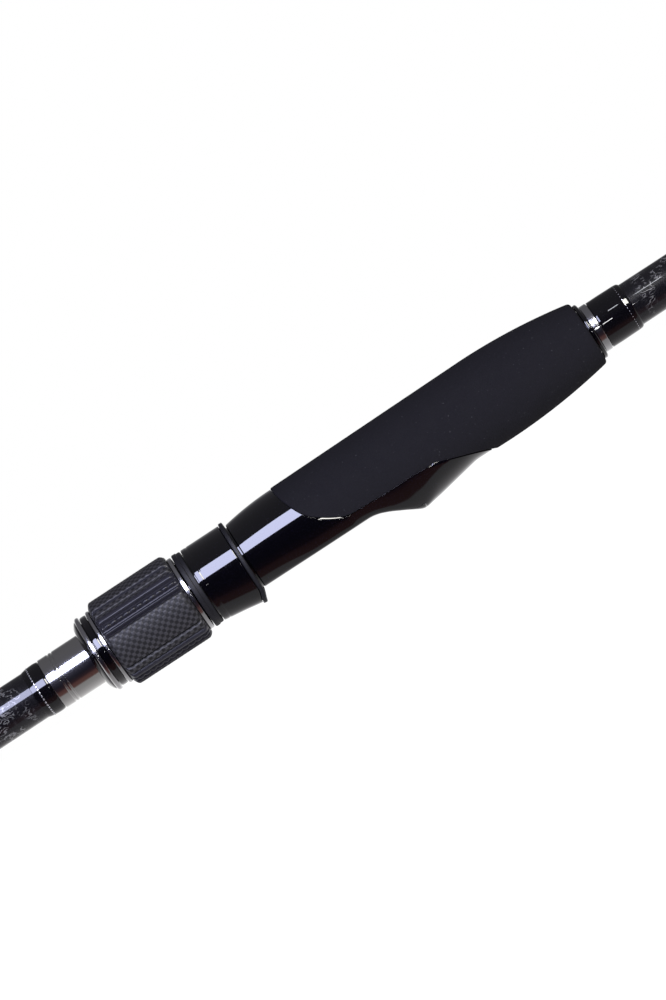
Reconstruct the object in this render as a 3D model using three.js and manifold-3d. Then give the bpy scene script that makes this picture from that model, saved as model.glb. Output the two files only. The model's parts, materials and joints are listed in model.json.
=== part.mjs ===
// A two-piece spinning rod in millimetres. It lies along X with its tip towards +X, and the reel
// and the line guides hang on the -Z side. The origin is the middle of the butt cap's flat end.
import * as THREE from 'three';
import { mergeVertices } from 'three/addons/utils/BufferGeometryUtils.js';
import Module from 'manifold-3d';

const wasm = await Module();
wasm.setup();

// ---- Driving dimensions ----
const ROD_LENGTH = 1830;
const FERRULE_OVERLAP = 60;
const BUTT_SECTION_END = (ROD_LENGTH + FERRULE_OVERLAP) / 2;
const TIP_SECTION_START = ROD_LENGTH - BUTT_SECTION_END;
const FOOT_CENTRE = 310; // from the butt to the middle of the bed that the reel foot lies on
const TIP_BLANK_END = ROD_LENGTH - 7;

const GAP = 0.3; // between pieces that touch
const THIN_GAP = 0.15; // under thin rings and wraps that are stretched over the blank
const ROUND = 28; // segments of a large round piece
const FINE = 18; // segments of a small one
const COARSE = 16; // segments of a thread wrap
const BEYOND = 90; // past the end of any piece of the reel seat, for the solids that cut it

// Outer radius of the blank at stations along the rod.
const BUTT_TAPER = [[0, 7.6], [219, 6.97], [420, 6.3], [BUTT_SECTION_END, 4.45]];
const TIP_TAPER = [[TIP_SECTION_START, 5.6], [TIP_BLANK_END, 1.15]];
const BLANK_WALL = 1.3;

// The butt cap and the rear grip.
const CAP = { face: 11.3, radius: 12.9, end: 14, bore: 7.9, floor: 4.6 };
const REAR_GRIP = { ring: 14.3, start: 17.6, end: 111.6, radius: 12.9, check: 115.4, wrapEnd: 130 };

// The reel seat. Stations are measured along X from the middle of the foot bed.
const SEAT = {
  threadStart: -63.7, threadEnd: -39, threadPitch: 2, crest: 9.15, root: 8.5,
  barrel: 9.6, barrelFlat: 9.2, shoulder: -23.5, front: 52,
  bore: 7.75, core: 8.9, bed: 9.5, top: 11.7,
  rampStart: 10.8, peak: 24.5, peakDepth: 15.8, rampEnd: 43, endDepth: 12.25,
  pocketEnd: 32, pocketHalfWidth: 7, hoodWall: 1.3,
};

// The screw hood and its nut, closed against the seat's shoulder.
const HOOD = { start: -37.5, shellEnd: -25.3, linerStart: -31, lipStart: -25.1, end: -23.9,
  bore: 9.9, top: 11.2, lipTop: 11.5, lipDepth: 13.3 };
const NUT = { tail: -73.4, edge: -71.85, band: -70.35, rearRing: -68.3, sleeve: -67, frontRing: -42,
  front: -40.75, tailBore: 7.85, spigot: 9.15, bore: 9.45, core: 10.3, grip: 12.95, ring: 11.3 };

// The foam foregrip's outer skin.
const GRIP = { tongue: -8.1, end: 86.9, rearRadius: 11.95, radius: 12.65, taperStart: 54 };

const GUIDE_STATIONS = [815, 1055, 1235, 1385, 1515, 1630, 1735];
const GUIDE_SIZES = [30, 20, 16, 12, 10, 8, 8];
const GUIDE_HEIGHTS = [29, 21, 16.5, 12.5, 10, 8.2, 7.6];
const DOUBLE_FOOT_GUIDES = 3;

// ---- Solids ----

/** A closed three.js geometry as a solid, whichever way its faces were wound. */
function solidOf(geometry) {
  const bare = geometry.index ? geometry.toNonIndexed() : geometry.clone();
  for (const name of Object.keys(bare.attributes)) {
    if (name !== 'position') bare.deleteAttribute(name);
  }
  const merged = mergeVertices(bare, 1e-3);
  const at = merged.attributes.position;
  const corners = merged.index.array;
  const faces = [];
  const a = new THREE.Vector3();
  const b = new THREE.Vector3();
  const c = new THREE.Vector3();
  let volume = 0;
  for (let i = 0; i < corners.length; i += 3) {
    const [p, q, r] = [corners[i], corners[i + 1], corners[i + 2]];
    if (p === q || q === r || r === p) continue;
    a.fromBufferAttribute(at, p);
    b.fromBufferAttribute(at, q);
    c.fromBufferAttribute(at, r);
    volume += a.dot(b.cross(c));
    faces.push(p, q, r);
  }
  const triVerts = new Uint32Array(volume < 0 ? faces.reverse() : faces);
  return new wasm.Manifold(new wasm.Mesh({ numProp: 3, vertProperties: at.array, triVerts }));
}

/** A solid as a three.js geometry. */
function geometryOf(solid) {
  const mesh = solid.getMesh();
  const geometry = new THREE.BufferGeometry();
  geometry.setAttribute('position', new THREE.BufferAttribute(mesh.vertProperties, 3));
  geometry.setIndex(new THREE.BufferAttribute(mesh.triVerts, 1));
  geometry.computeVertexNormals();
  return geometry;
}

/** A profile of [x, radius] points turned about X. Off the axis, it closes on itself. */
function turnedGeometry(profile, segments) {
  const points = profile.map(([x, radius]) => new THREE.Vector2(radius, x));
  if (profile[0][1] > 0) points.push(points[0].clone());
  return new THREE.LatheGeometry(points, segments).rotateZ(-Math.PI / 2);
}

function turned(profile, segments = ROUND) {
  return solidOf(turnedGeometry(profile, segments));
}

/** A plain ring or tube between two stations. */
function ring(start, end, inner, outer, segments = ROUND) {
  return turned([[start, inner], [start, outer], [end, outer], [end, inner]], segments);
}

/** A long solid whose outline at each station is sectionAt(x, angle), an angle of 0 pointing up. */
function skin(stations, sectionAt, segments = ROUND) {
  const last = stations.length - 1;
  const profile = stations.map((x) => [x, 1]);
  profile.unshift([stations[0], 0]);
  profile.push([stations[last], 0]);
  const geometry = turnedGeometry(profile, segments);
  const at = geometry.attributes.position;
  for (let i = 0; i < at.count; i += 1) {
    if (Math.hypot(at.getY(i), at.getZ(i)) < 0.5) continue;
    const [y, z] = sectionAt(at.getX(i), Math.atan2(at.getY(i), at.getZ(i)));
    at.setY(i, y);
    at.setZ(i, z);
  }
  return solidOf(geometry);
}

function block(low, high) {
  const size = high.map((value, axis) => value - low[axis]);
  const centre = high.map((value, axis) => (value + low[axis]) / 2);
  return solidOf(new THREE.BoxGeometry(...size).translate(...centre));
}

/** A bar of round section along a path of [x, y, z] points. */
function bar(points, radius, steps) {
  const path = new THREE.CatmullRomCurve3(points.map((point) => new THREE.Vector3(...point)));
  const section = new THREE.Shape();
  section.absarc(0, 0, radius, 0, 2 * Math.PI);
  const options = { steps, curveSegments: 3, extrudePath: path };
  return solidOf(new THREE.ExtrudeGeometry(section, options));
}

/** The value of a line drawn through [x, value] points. */
function along(points, x) {
  const next = points.findIndex(([station]) => station > x);
  const high = next < 0 ? points.length - 1 : Math.max(next, 1);
  const [x0, value0] = points[high - 1];
  const [x1, value1] = points[high];
  return THREE.MathUtils.mapLinear(x, x0, x1, value0, value1);
}

/** The blank's radius at a station of the reel seat. */
function seatBlankRadius(station) {
  return along(BUTT_TAPER, FOOT_CENTRE + station);
}

/** A circle above and a flat or a fuller, squarer belly below. */
function bellied(top, depth, angle) {
  const y = top * Math.sin(angle);
  const z = top * Math.cos(angle);
  if (z >= 0) return [y, z];
  if (depth <= top) return [y, Math.max(z, -depth)];
  const squareness = 2 / (2 + 0.5 * (depth - top));
  const side = Math.abs(Math.sin(angle)) ** squareness;
  return [Math.sign(y) * top * side, -depth * Math.abs(Math.cos(angle)) ** squareness];
}

// ---- Materials ----
const finish = (color, roughness, metalness) => ({ color, roughness, metalness });
const BLANK = finish(0x15161a, 0.15, 0);
const GLOSS = finish(0x0b0b0e, 0.08, 0);
const FOAM = finish(0x211f26, 0.95, 0);
const RUBBER = finish(0x26262b, 0.8, 0);
const CARBON = finish(0x33333a, 0.5, 0);
const STEEL = finish(0xb9bac0, 0.2, 1);
const GUNMETAL = finish(0x7c7d82, 0.18, 1);
const CERAMIC = finish(0x2b2c30, 0.15, 0.2);
const NYLON = finish(0x3a3a3e, 0.5, 0);

const rod = new THREE.Group();
const seat = new THREE.Group();
seat.position.x = FOOT_CENTRE;
rod.add(seat);

function addPiece(group, name, solid, look) {
  const mesh = new THREE.Mesh(geometryOf(solid), new THREE.MeshStandardMaterial(look));
  mesh.name = name;
  group.add(mesh);
}

// ---- Butt section: blank, cap and rear grip ----

function buttBlank() {
  const outer = BUTT_TAPER.map(([x, radius]) => [Math.max(x, 5), radius]);
  const inner = outer.map(([x, radius]) => [x, radius - BLANK_WALL]).reverse();
  return turned([...outer, ...inner]);
}

/** A cup with a flat end and an eased rim, over the blank's end. */
function buttCap() {
  return turned([[0, 0], [0, CAP.face], [1.2, 12.5], [12, CAP.radius], [CAP.end, 12.6],
    [CAP.end, CAP.bore], [CAP.floor, CAP.bore], [CAP.floor, 0]]);
}

/** A long foam grip that narrows from the cap to its front end. */
function rearGrip() {
  const inner = along(BUTT_TAPER, REAR_GRIP.start) + THIN_GAP;
  return turned([[REAR_GRIP.start, inner], [REAR_GRIP.start, 12.4], [20, REAR_GRIP.radius], [45, 12.4],
    [75, 11.5], [98, 11.3], [109, 10.9], [REAR_GRIP.end, 10], [REAR_GRIP.end, inner]]);
}

addPiece(rod, 'butt_cap', buttCap(), RUBBER);
addPiece(rod, 'butt_cap_ring', ring(REAR_GRIP.ring, REAR_GRIP.start - GAP, 7.8, 12.7), STEEL);
addPiece(rod, 'rear_grip', rearGrip(), FOAM);
addPiece(rod, 'rear_grip_check', ring(REAR_GRIP.end + 0.4, REAR_GRIP.check, 7.5, 9.2, FINE), STEEL);
addPiece(rod, 'rear_grip_wrap', ring(REAR_GRIP.check + GAP, REAR_GRIP.wrapEnd, 7.42, 7.75, FINE), GLOSS);
addPiece(rod, 'butt_blank', buttBlank(), BLANK);

// ---- Reel seat ----

/** Depth of the seat's underside: the flat bed, the ramp to the front hood's peak, its run-out. */
function seatDepth(x) {
  if (x <= SEAT.rampStart) return SEAT.bed;
  if (x <= SEAT.peak) {
    const share = (x - SEAT.rampStart) / (SEAT.peak - SEAT.rampStart);
    return SEAT.bed + (SEAT.peakDepth - SEAT.bed) * share ** 1.35;
  }
  const share = Math.min(1, (x - SEAT.peak) / (SEAT.rampEnd - SEAT.peak));
  return THREE.MathUtils.lerp(SEAT.peakDepth, SEAT.endDepth, share);
}

/** Radius of the seat's back, which swells from the shoulder to where the foam starts. */
function seatTop(x) {
  const share = Math.max(0, (GRIP.tongue - x) / (GRIP.tongue - SEAT.shoulder));
  return SEAT.top - 1.45 * share ** 2;
}

/**
 * Everything past the edge where the foregrip's foam meets the seat, seen from the side: a blunt
 * tongue on top, a long edge just below the middle, and a sweep down to the underside.
 */
function foamRegion() {
  const edge = [[-8.1, 11.8], [-6.4, 5.1], [-3, -0.7], [1.1, -4.4], [4.6, -5.8], [16.6, -6.3],
    [31.8, -6.8], [40.2, -9.4], [48.3, -12.4], [53, -15]];
  const shape = new THREE.Shape();
  shape.moveTo(-8.6, 16);
  shape.splineThru(edge.map(([x, z]) => new THREE.Vector2(x, z)));
  shape.lineTo(53, -20);
  shape.lineTo(100, -20);
  shape.lineTo(100, 16);
  const options = { depth: 40, bevelEnabled: false, curveSegments: 2 };
  const geometry = new THREE.ExtrudeGeometry(shape, options);
  return solidOf(geometry.rotateX(Math.PI / 2).translate(0, 20, 0));
}

/** The rear barrel: male thread as a row of ridges, then a plain part with a flat below. */
function seatBarrel() {
  const profile = [[SEAT.threadStart, SEAT.bore - 1], [SEAT.threadStart, SEAT.root]];
  for (let x = SEAT.threadStart + 0.7; x + 1.2 < SEAT.threadEnd; x += SEAT.threadPitch) {
    profile.push([x, SEAT.root], [x + 0.6, SEAT.crest], [x + 1.2, SEAT.root]);
  }
  profile.push([SEAT.threadEnd + 1, SEAT.root], [SEAT.threadEnd + 1, SEAT.bore - 1]);
  const thread = turned(profile, FINE);
  const plain = ring(SEAT.threadEnd, SEAT.shoulder + 1, SEAT.bore - 1, SEAT.barrel);
  const flat = block([SEAT.threadEnd - 1, -12, -12], [SEAT.shoulder, 12, -SEAT.barrelFlat]);
  return thread.add(plain.subtract(flat));
}

/** The front hood's pocket: its hollow under the roof, and its mouth between the two cheeks. */
function seatPocket() {
  const start = SEAT.rampStart + 0.2;
  const width = SEAT.pocketHalfWidth;
  const wall = SEAT.hoodWall;
  const inside = (x, angle) => bellied(seatTop(x) - wall, seatDepth(x) - wall, angle);
  const hollow = skin([start, 16, 20, SEAT.peak, 28, SEAT.pocketEnd], inside);
  const belowBed = block([start, -width, -20], [SEAT.pocketEnd, width, -SEAT.bed]);
  const mouth = block([start, -width, -20], [SEAT.peak - 0.3, width, -SEAT.bed]);
  return hollow.intersect(belowBed).add(mouth);
}

function seatBody() {
  const stations = [SEAT.shoulder, -19, -14, -8, 0, 8, SEAT.rampStart, 13.5, 16, 18.5, 21, 23,
    SEAT.peak, 26, 32, 38, SEAT.rampEnd, SEAT.front];
  const outside = skin(stations, (x, angle) => bellied(seatTop(x), seatDepth(x), angle));
  const core = ring(GRIP.tongue - 4, SEAT.front, SEAT.bore - 1, SEAT.core);
  const bore = turned([[-BEYOND, 0], [-BEYOND, SEAT.bore], [BEYOND, SEAT.bore], [BEYOND, 0]]);
  return outside.subtract(foamRegion()).add(core).add(seatBarrel())
    .subtract(seatPocket()).subtract(bore);
}

function seatArbor(start, end) {
  return ring(start, end, seatBlankRadius(start) + THIN_GAP, SEAT.bore - THIN_GAP, FINE);
}

addPiece(seat, 'seat_body', seatBody(), GLOSS);
addPiece(seat, 'seat_arbor_rear', seatArbor(-60, -48), NYLON);
addPiece(seat, 'seat_arbor_middle', seatArbor(-12, 2), NYLON);
addPiece(seat, 'seat_arbor_front', seatArbor(36, 50), NYLON);
addPiece(seat, 'rear_sleeve', ring(-86.1, -65, seatBlankRadius(-86) + THIN_GAP, 7.5), GUNMETAL);
addPiece(seat, 'rear_sleeve_wrap', ring(-91.3, -86.3, 7.08, 7.32, FINE), GLOSS);
addPiece(seat, 'rear_sleeve_trim', ring(-90, -89.6, 7.36, 7.5, FINE), STEEL);

// ---- Moving hood ----

/** Depth of the moving hood's underside, which flares towards its lip. */
function hoodDepth(x) {
  return THREE.MathUtils.mapLinear(x, HOOD.start, HOOD.shellEnd, 11.3, 12.85);
}

/** The hood's outline drawn in by a wall thickness, from one station to another. */
function hoodSkin(stations, wall) {
  return skin(stations, (x, angle) => bellied(HOOD.top - wall, hoodDepth(x) - wall, angle));
}

function hoodBore() {
  return turned([[-BEYOND, 0], [-BEYOND, HOOD.bore], [0, HOOD.bore], [0, 0]]);
}

function hoodShell() {
  const hollow = hoodSkin([HOOD.linerStart - 0.3, HOOD.shellEnd + 1], 0.6);
  const outside = hoodSkin([HOOD.start, HOOD.start + 0.4, HOOD.shellEnd], 0);
  return outside.subtract(hollow).subtract(hoodBore());
}

/** The hood's cushion: a thin lining of the foot pocket with a bead round the mouth. */
function hoodLiner() {
  const lining = hoodSkin([HOOD.linerStart, HOOD.end - 0.5], 0.85);
  const bead = skin([HOOD.lipStart, HOOD.lipStart + 0.3, HOOD.end - 0.3, HOOD.end], (x, angle) => {
    const inset = x < HOOD.lipStart + 0.1 || x > HOOD.end - 0.1 ? 0.25 : 0;
    return bellied(HOOD.lipTop - inset, HOOD.lipDepth - inset, angle);
  });
  const pocket = hoodSkin([HOOD.linerStart + 1, HOOD.end + 1], 1.25);
  return lining.add(bead).subtract(pocket).subtract(hoodBore());
}

addPiece(seat, 'hood_shell', hoodShell(), GLOSS);
addPiece(seat, 'hood_liner', hoodLiner(), RUBBER);
addPiece(seat, 'hood_collar', ring(-40.4, -37.8, HOOD.bore, 11.35), RUBBER);

// ---- Nut ----

/** Outline of the nut's grip: four wide panels, and ribs with grooves between them. */
function gripOutline() {
  const points = [];
  const grooves = [-52, -39, -28, -18.3, -11];
  const quarters = [0, 90, 180, 270];
  const add = (degrees, radius) => {
    const angle = THREE.MathUtils.degToRad(degrees);
    points.push(new THREE.Vector2(radius * Math.cos(angle), radius * Math.sin(angle)));
  };
  for (const quarter of quarters) {
    for (const groove of grooves) {
      add(quarter + groove - 1.8, NUT.grip);
      add(quarter + groove, NUT.grip - 0.6);
      add(quarter + groove + 1.8, NUT.grip);
    }
    for (const panel of [1, 11, 21, 29]) add(quarter + panel, NUT.grip);
  }
  return new THREE.Shape(points);
}

function nutSleeve() {
  const length = NUT.frontRing - 0.15 - NUT.sleeve;
  const options = { depth: length, bevelEnabled: false };
  const ribbed = new THREE.ExtrudeGeometry(gripOutline(), options).rotateY(Math.PI / 2);
  const chamfered = turned([[0, 10.6], [0, 11.4], [1.9, 13.2], [length - 1.3, 13.2],
    [length, 11.9], [length, 10.6]]);
  return solidOf(ribbed).intersect(chamfered).translate(NUT.sleeve, 0, 0);
}

/** The nut's threaded core, whose bore clears the seat's thread. */
function nutCore() {
  return ring(NUT.sleeve + 0.1, NUT.front - 0.1, NUT.bore, NUT.core);
}

/** The dark cone at the nut's tail and the spigot that carries the rings in front of it. */
function nutTail() {
  return turned([[NUT.tail, NUT.tailBore], [NUT.tail, 8.9], [NUT.edge - 0.15, 10.3],
    [NUT.edge - 0.15, NUT.spigot], [-65, NUT.spigot], [-65, NUT.tailBore]]);
}

function nutTailEdge() {
  const inner = NUT.spigot + THIN_GAP;
  return turned([[NUT.edge, inner], [NUT.edge, 10.4], [-70.9, 11.4], [-70.5, 11.4], [-70.5, inner]]);
}

addPiece(seat, 'nut_core', nutCore(), NYLON);
addPiece(seat, 'nut_sleeve', nutSleeve(), CARBON);
addPiece(seat, 'nut_tail', nutTail(), GLOSS);
addPiece(seat, 'nut_tail_edge', nutTailEdge(), STEEL);
addPiece(seat, 'nut_tail_band', ring(NUT.band, -68.45, 9.3, 10.85), GLOSS);
addPiece(seat, 'nut_rear_ring', ring(NUT.rearRing, -67.15, 9.3, NUT.ring), STEEL);
addPiece(seat, 'nut_front_ring', ring(NUT.frontRing, NUT.front, 10.45, 11.15), STEEL);

// ---- Foregrip and the trim in front of it ----

function foregripRadius(x) {
  if (x > GRIP.taperStart) return GRIP.radius - 0.00293 * (x - GRIP.taperStart) ** 2;
  return THREE.MathUtils.mapLinear(x, GRIP.tongue, GRIP.taperStart, GRIP.rearRadius, GRIP.radius);
}

function foregrip() {
  const stations = [GRIP.tongue - 1, GRIP.tongue + 12, 20, 40, GRIP.taperStart, 63, 72, 80, 85.4];
  const profile = stations.map((x) => [x, foregripRadius(x)]);
  const outside = turned([[GRIP.tongue - 1, 0], ...profile, [GRIP.end, 9.2], [GRIP.end, 0]]);
  const seatRoom = turned([[-20, 0], [-20, SEAT.core + GAP], [SEAT.front + GAP, SEAT.core + GAP],
    [SEAT.front + GAP, 0]]);
  const bore = seatBlankRadius(SEAT.front) + THIN_GAP;
  const blankRoom = turned([[0, 0], [0, bore], [BEYOND, bore], [BEYOND, 0]]);
  return outside.intersect(foamRegion().translate(GAP, 0, GAP)).subtract(seatRoom).subtract(blankRoom);
}

addPiece(seat, 'foregrip', foregrip(), FOAM);
addPiece(seat, 'foregrip_end_ring', ring(87.1, 88.2, 6.6, 8.4, FINE), GLOSS);
addPiece(seat, 'winding_check', ring(88.35, 90.4, 6.6, 7.15, FINE), STEEL);
addPiece(seat, 'foregrip_wrap', turned([[90.6, 6.55], [90.6, 7.05], [97, 6.95], [101.5, 6.7],
  [101.5, 6.55]], FINE), GLOSS);
addPiece(seat, 'foregrip_trim', ring(98.9, 99.3, 7.02, 7.14, FINE), STEEL);

// ---- Tip section ----

/** A tapered tube whose blind bore is widest at the ferrule, where it slips over the butt section. */
function tipBlank() {
  const fit = (x) => along(BUTT_TAPER, x) + 0.25;
  return turned([[TIP_SECTION_START, fit(TIP_SECTION_START)], ...TIP_TAPER.slice(0, 1),
    [1350, along(TIP_TAPER, 1350)], ...TIP_TAPER.slice(1), [TIP_BLANK_END, 0], [1600, 0],
    [1590, 0.9], [960, 4.2], [BUTT_SECTION_END + 2, fit(BUTT_SECTION_END)]].reverse(), FINE);
}

addPiece(rod, 'tip_blank', tipBlank(), BLANK);
addPiece(rod, 'ferrule_wrap', ring(TIP_SECTION_START + 2.6, TIP_SECTION_START + 42, 5.72, 6.1, FINE),
  GLOSS);
addPiece(rod, 'ferrule_trim', ring(TIP_SECTION_START + 0.6, TIP_SECTION_START + 2.3, 5.72, 6.2, FINE),
  STEEL);

// ---- Line guides ----

/** Half of the inner and outer width of a guide ring of a given size. */
function guideRing(size) {
  const outer = size / 2;
  const inner = outer - 1 - 0.035 * size;
  return { inner, outer, seam: inner + 0.55 * (outer - inner) };
}

/** The hard ring that the line runs through, rounded inside, centred below the blank. */
function guideInsert(size, height, x = 0) {
  const { inner, seam } = guideRing(size);
  const half = 0.6 + 0.02 * size;
  const outer = seam - THIN_GAP / 2;
  return turned([[-half, outer], [-half * 0.6, inner + 0.15], [0, inner], [half * 0.6, inner + 0.15],
    [half, outer]], FINE).translate(x, 0, -height);
}

function guideHolder(size, height, x = 0) {
  const half = 0.45 + 0.015 * size;
  const outer = size / 2;
  return turned([[-half, 0], [-half, outer], [half, outer], [half, 0]], FINE).translate(x, 0, -height);
}

/** What a guide's frame leaves open for its hard ring. */
function ringRoom(size, height, x = 0) {
  const radius = guideRing(size).seam + THIN_GAP / 2;
  return turned([[-3, 0], [-3, radius], [3, radius], [3, 0]], FINE).translate(x, 0, -height);
}

/** One foot of a guide, which lies on the blank, and its pair of legs down to the ring. */
function guideFoot(size, height, blankRadius, direction) {
  const { outer, seam } = guideRing(size);
  const base = direction * (0.5 * height + 1);
  const end = base + direction * (9 + 0.25 * size);
  const deck = -(blankRadius + GAP);
  const thick = 0.7;
  const halfWidth = 1.1 + 0.02 * size;
  let foot = block([Math.min(base, end), -halfWidth, deck - thick],
    [Math.max(base, end), halfWidth, deck]);
  const wire = 0.5 + 0.012 * size;
  const grip = (outer + seam) / 2;
  const spread = THREE.MathUtils.degToRad(52);
  for (const side of [-1, 1]) {
    const hold = [0, side * grip * Math.sin(spread), grip * Math.cos(spread) - height];
    const root = [base + direction * 1.2, side * (halfWidth - 0.5), deck - thick - wire * 0.5];
    foot = foot.add(bar([hold, root], wire, 1));
  }
  return { solid: foot, base, end, deck, thick, halfWidth };
}

/** A thread wrap over a guide's foot, with a channel in it for the foot. */
function footWrap(foot, blankRadius) {
  const start = Math.min(foot.base, foot.end) + (foot.end > 0 ? 2.5 : -2);
  const end = Math.max(foot.base, foot.end) + (foot.end > 0 ? 2 : -2.5);
  const outer = blankRadius + GAP + foot.thick + 0.65;
  const room = block([start - 1, -foot.halfWidth - 0.2, foot.deck - foot.thick - 0.2],
    [end + 1, foot.halfWidth + 0.2, 0]);
  const blankRoom = turned([[start - 5, 0], [start - 5, blankRadius + THIN_GAP],
    [end + 5, blankRadius + THIN_GAP], [end + 5, 0]], COARSE);
  const wrap = turned([[start, 0], [start, blankRadius + 0.6], [start + 1.5, outer],
    [end - 1.5, outer], [end, blankRadius + 0.6], [end, 0]], COARSE);
  return wrap.subtract(room.add(blankRoom));
}

function addGuide(index) {
  const station = GUIDE_STATIONS[index];
  const size = GUIDE_SIZES[index];
  const height = GUIDE_HEIGHTS[index];
  const taper = station < TIP_SECTION_START ? BUTT_TAPER : TIP_TAPER;
  const blankRadius = along(taper, station - 25);
  const name = `guide_${index + 1}`;
  const group = new THREE.Group();
  group.position.x = station;
  rod.add(group);
  const directions = index < DOUBLE_FOOT_GUIDES ? [-1, 1] : [-1];
  let frame = guideHolder(size, height);
  for (const direction of directions) {
    const foot = guideFoot(size, height, blankRadius, direction);
    frame = frame.add(foot.solid);
    const end = directions.length === 1 ? 'wrap' : direction < 0 ? 'rear_wrap' : 'front_wrap';
    addPiece(group, `${name}_${end}`, footWrap(foot, blankRadius), GLOSS);
  }
  addPiece(group, `${name}_frame`, frame.subtract(ringRoom(size, height)), GUNMETAL);
  addPiece(group, `${name}_ring`, guideInsert(size, height), CERAMIC);
}

for (let index = 0; index < GUIDE_STATIONS.length; index += 1) addGuide(index);

/** The tip top: a tube over the end of the blank, with a ring held in front of it and below. */
function tipTopFrame(size, height, reach) {
  const { outer, seam } = guideRing(size);
  const inner = 1.55;
  const wall = 2.05;
  const tube = turned([[-14, 0], [-14, wall], [0, wall], [1, 1.2], [1, 0]]);
  const bore = turned([[-15, 0], [-15, inner], [0.3, inner], [0.3, 0]]);
  const grip = (outer + seam) / 2;
  const spread = THREE.MathUtils.degToRad(65);
  let frame = tube.add(guideHolder(size, height, reach));
  for (const side of [-1, 1]) {
    const hold = [reach, side * grip * Math.sin(spread), grip * Math.cos(spread) - height];
    frame = frame.add(bar([hold, [-9, side * 0.9, -1.3]], 0.55, 1));
  }
  frame = frame.add(bar([[reach, 0, grip - height], [-1, 0, -1.2]], 0.55, 1));
  return frame.subtract(bore).subtract(ringRoom(size, height, reach));
}

const tipTop = new THREE.Group();
tipTop.position.x = TIP_BLANK_END;
rod.add(tipTop);
const TIP_TOP = { size: 8, height: 6, reach: 6 };
addPiece(tipTop, 'tip_top_frame', tipTopFrame(TIP_TOP.size, TIP_TOP.height, TIP_TOP.reach), GUNMETAL);
addPiece(tipTop, 'tip_top_ring', guideInsert(TIP_TOP.size, TIP_TOP.height, TIP_TOP.reach), CERAMIC);
addPiece(tipTop, 'tip_top_wrap', ring(-22, -14.4, 1.4, 1.9, COARSE), GLOSS);

export default rod;
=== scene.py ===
"""Looks of a two-piece spinning rod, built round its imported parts.

Axes, in metres: X runs along the rod from the butt to the tip, -Z is the side of the reel and of
the line guides, and -Y faces the camera. The sizes in the classes below are in millimetres. The
handle's own stations start at the middle of the reel foot. Angles round the rod start at the top
(+Z) and turn towards +Y.
"""

from __future__ import annotations

import json
import logging
import math
from dataclasses import dataclass, field
from enum import Enum

import bpy
import numpy as np
from mathutils import Matrix, Vector

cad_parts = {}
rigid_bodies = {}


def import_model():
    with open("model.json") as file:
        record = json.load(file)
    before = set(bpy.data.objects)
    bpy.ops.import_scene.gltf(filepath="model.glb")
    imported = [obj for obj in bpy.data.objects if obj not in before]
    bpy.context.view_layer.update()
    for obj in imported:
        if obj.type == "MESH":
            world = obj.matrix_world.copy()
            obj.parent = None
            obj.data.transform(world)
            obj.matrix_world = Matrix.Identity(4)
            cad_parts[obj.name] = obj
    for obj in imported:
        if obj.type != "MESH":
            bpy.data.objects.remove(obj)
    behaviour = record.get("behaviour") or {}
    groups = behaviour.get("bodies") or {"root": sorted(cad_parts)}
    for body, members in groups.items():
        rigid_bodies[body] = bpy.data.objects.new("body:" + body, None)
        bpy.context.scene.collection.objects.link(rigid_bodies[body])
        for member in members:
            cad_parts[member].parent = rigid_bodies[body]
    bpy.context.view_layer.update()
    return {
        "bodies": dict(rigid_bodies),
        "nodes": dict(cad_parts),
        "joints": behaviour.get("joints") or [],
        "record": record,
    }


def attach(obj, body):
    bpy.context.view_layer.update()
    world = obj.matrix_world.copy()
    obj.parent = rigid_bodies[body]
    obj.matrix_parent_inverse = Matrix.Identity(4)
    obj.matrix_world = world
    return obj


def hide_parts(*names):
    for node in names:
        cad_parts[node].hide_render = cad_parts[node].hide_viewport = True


LOG = logging.getLogger("rod")
MM = 0.001
FOOT_CENTRE = 310.0
WELD_DIGITS = 8
SMOOTH_ANGLE = math.radians(38)

BUTT_TAPER = ((0.0, 7.6), (219.0, 6.97), (420.0, 6.3), (945.0, 4.45))
TIP_TAPER = ((885.0, 5.6), (1823.0, 1.15))


class Body(Enum):
    """The bodies that pieces ride on."""

    ROD = "root"
    HOOD = "hood"
    NUT = "nut"
    TIP = "tip"


class Slot(Enum):
    """The material slots of the part's record."""

    BLANK = "blank"
    GLOSS = "gloss_black"
    THREAD = "thread_wrap"
    FOAM = "foam"
    RUBBER = "rubber"
    WEAVE = "weave_grip"
    STEEL = "steel"
    GUNMETAL = "gunmetal"
    CERAMIC = "ceramic"
    NYLON = "nylon"


# ---------------------------------------------------------------- shapes


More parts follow.
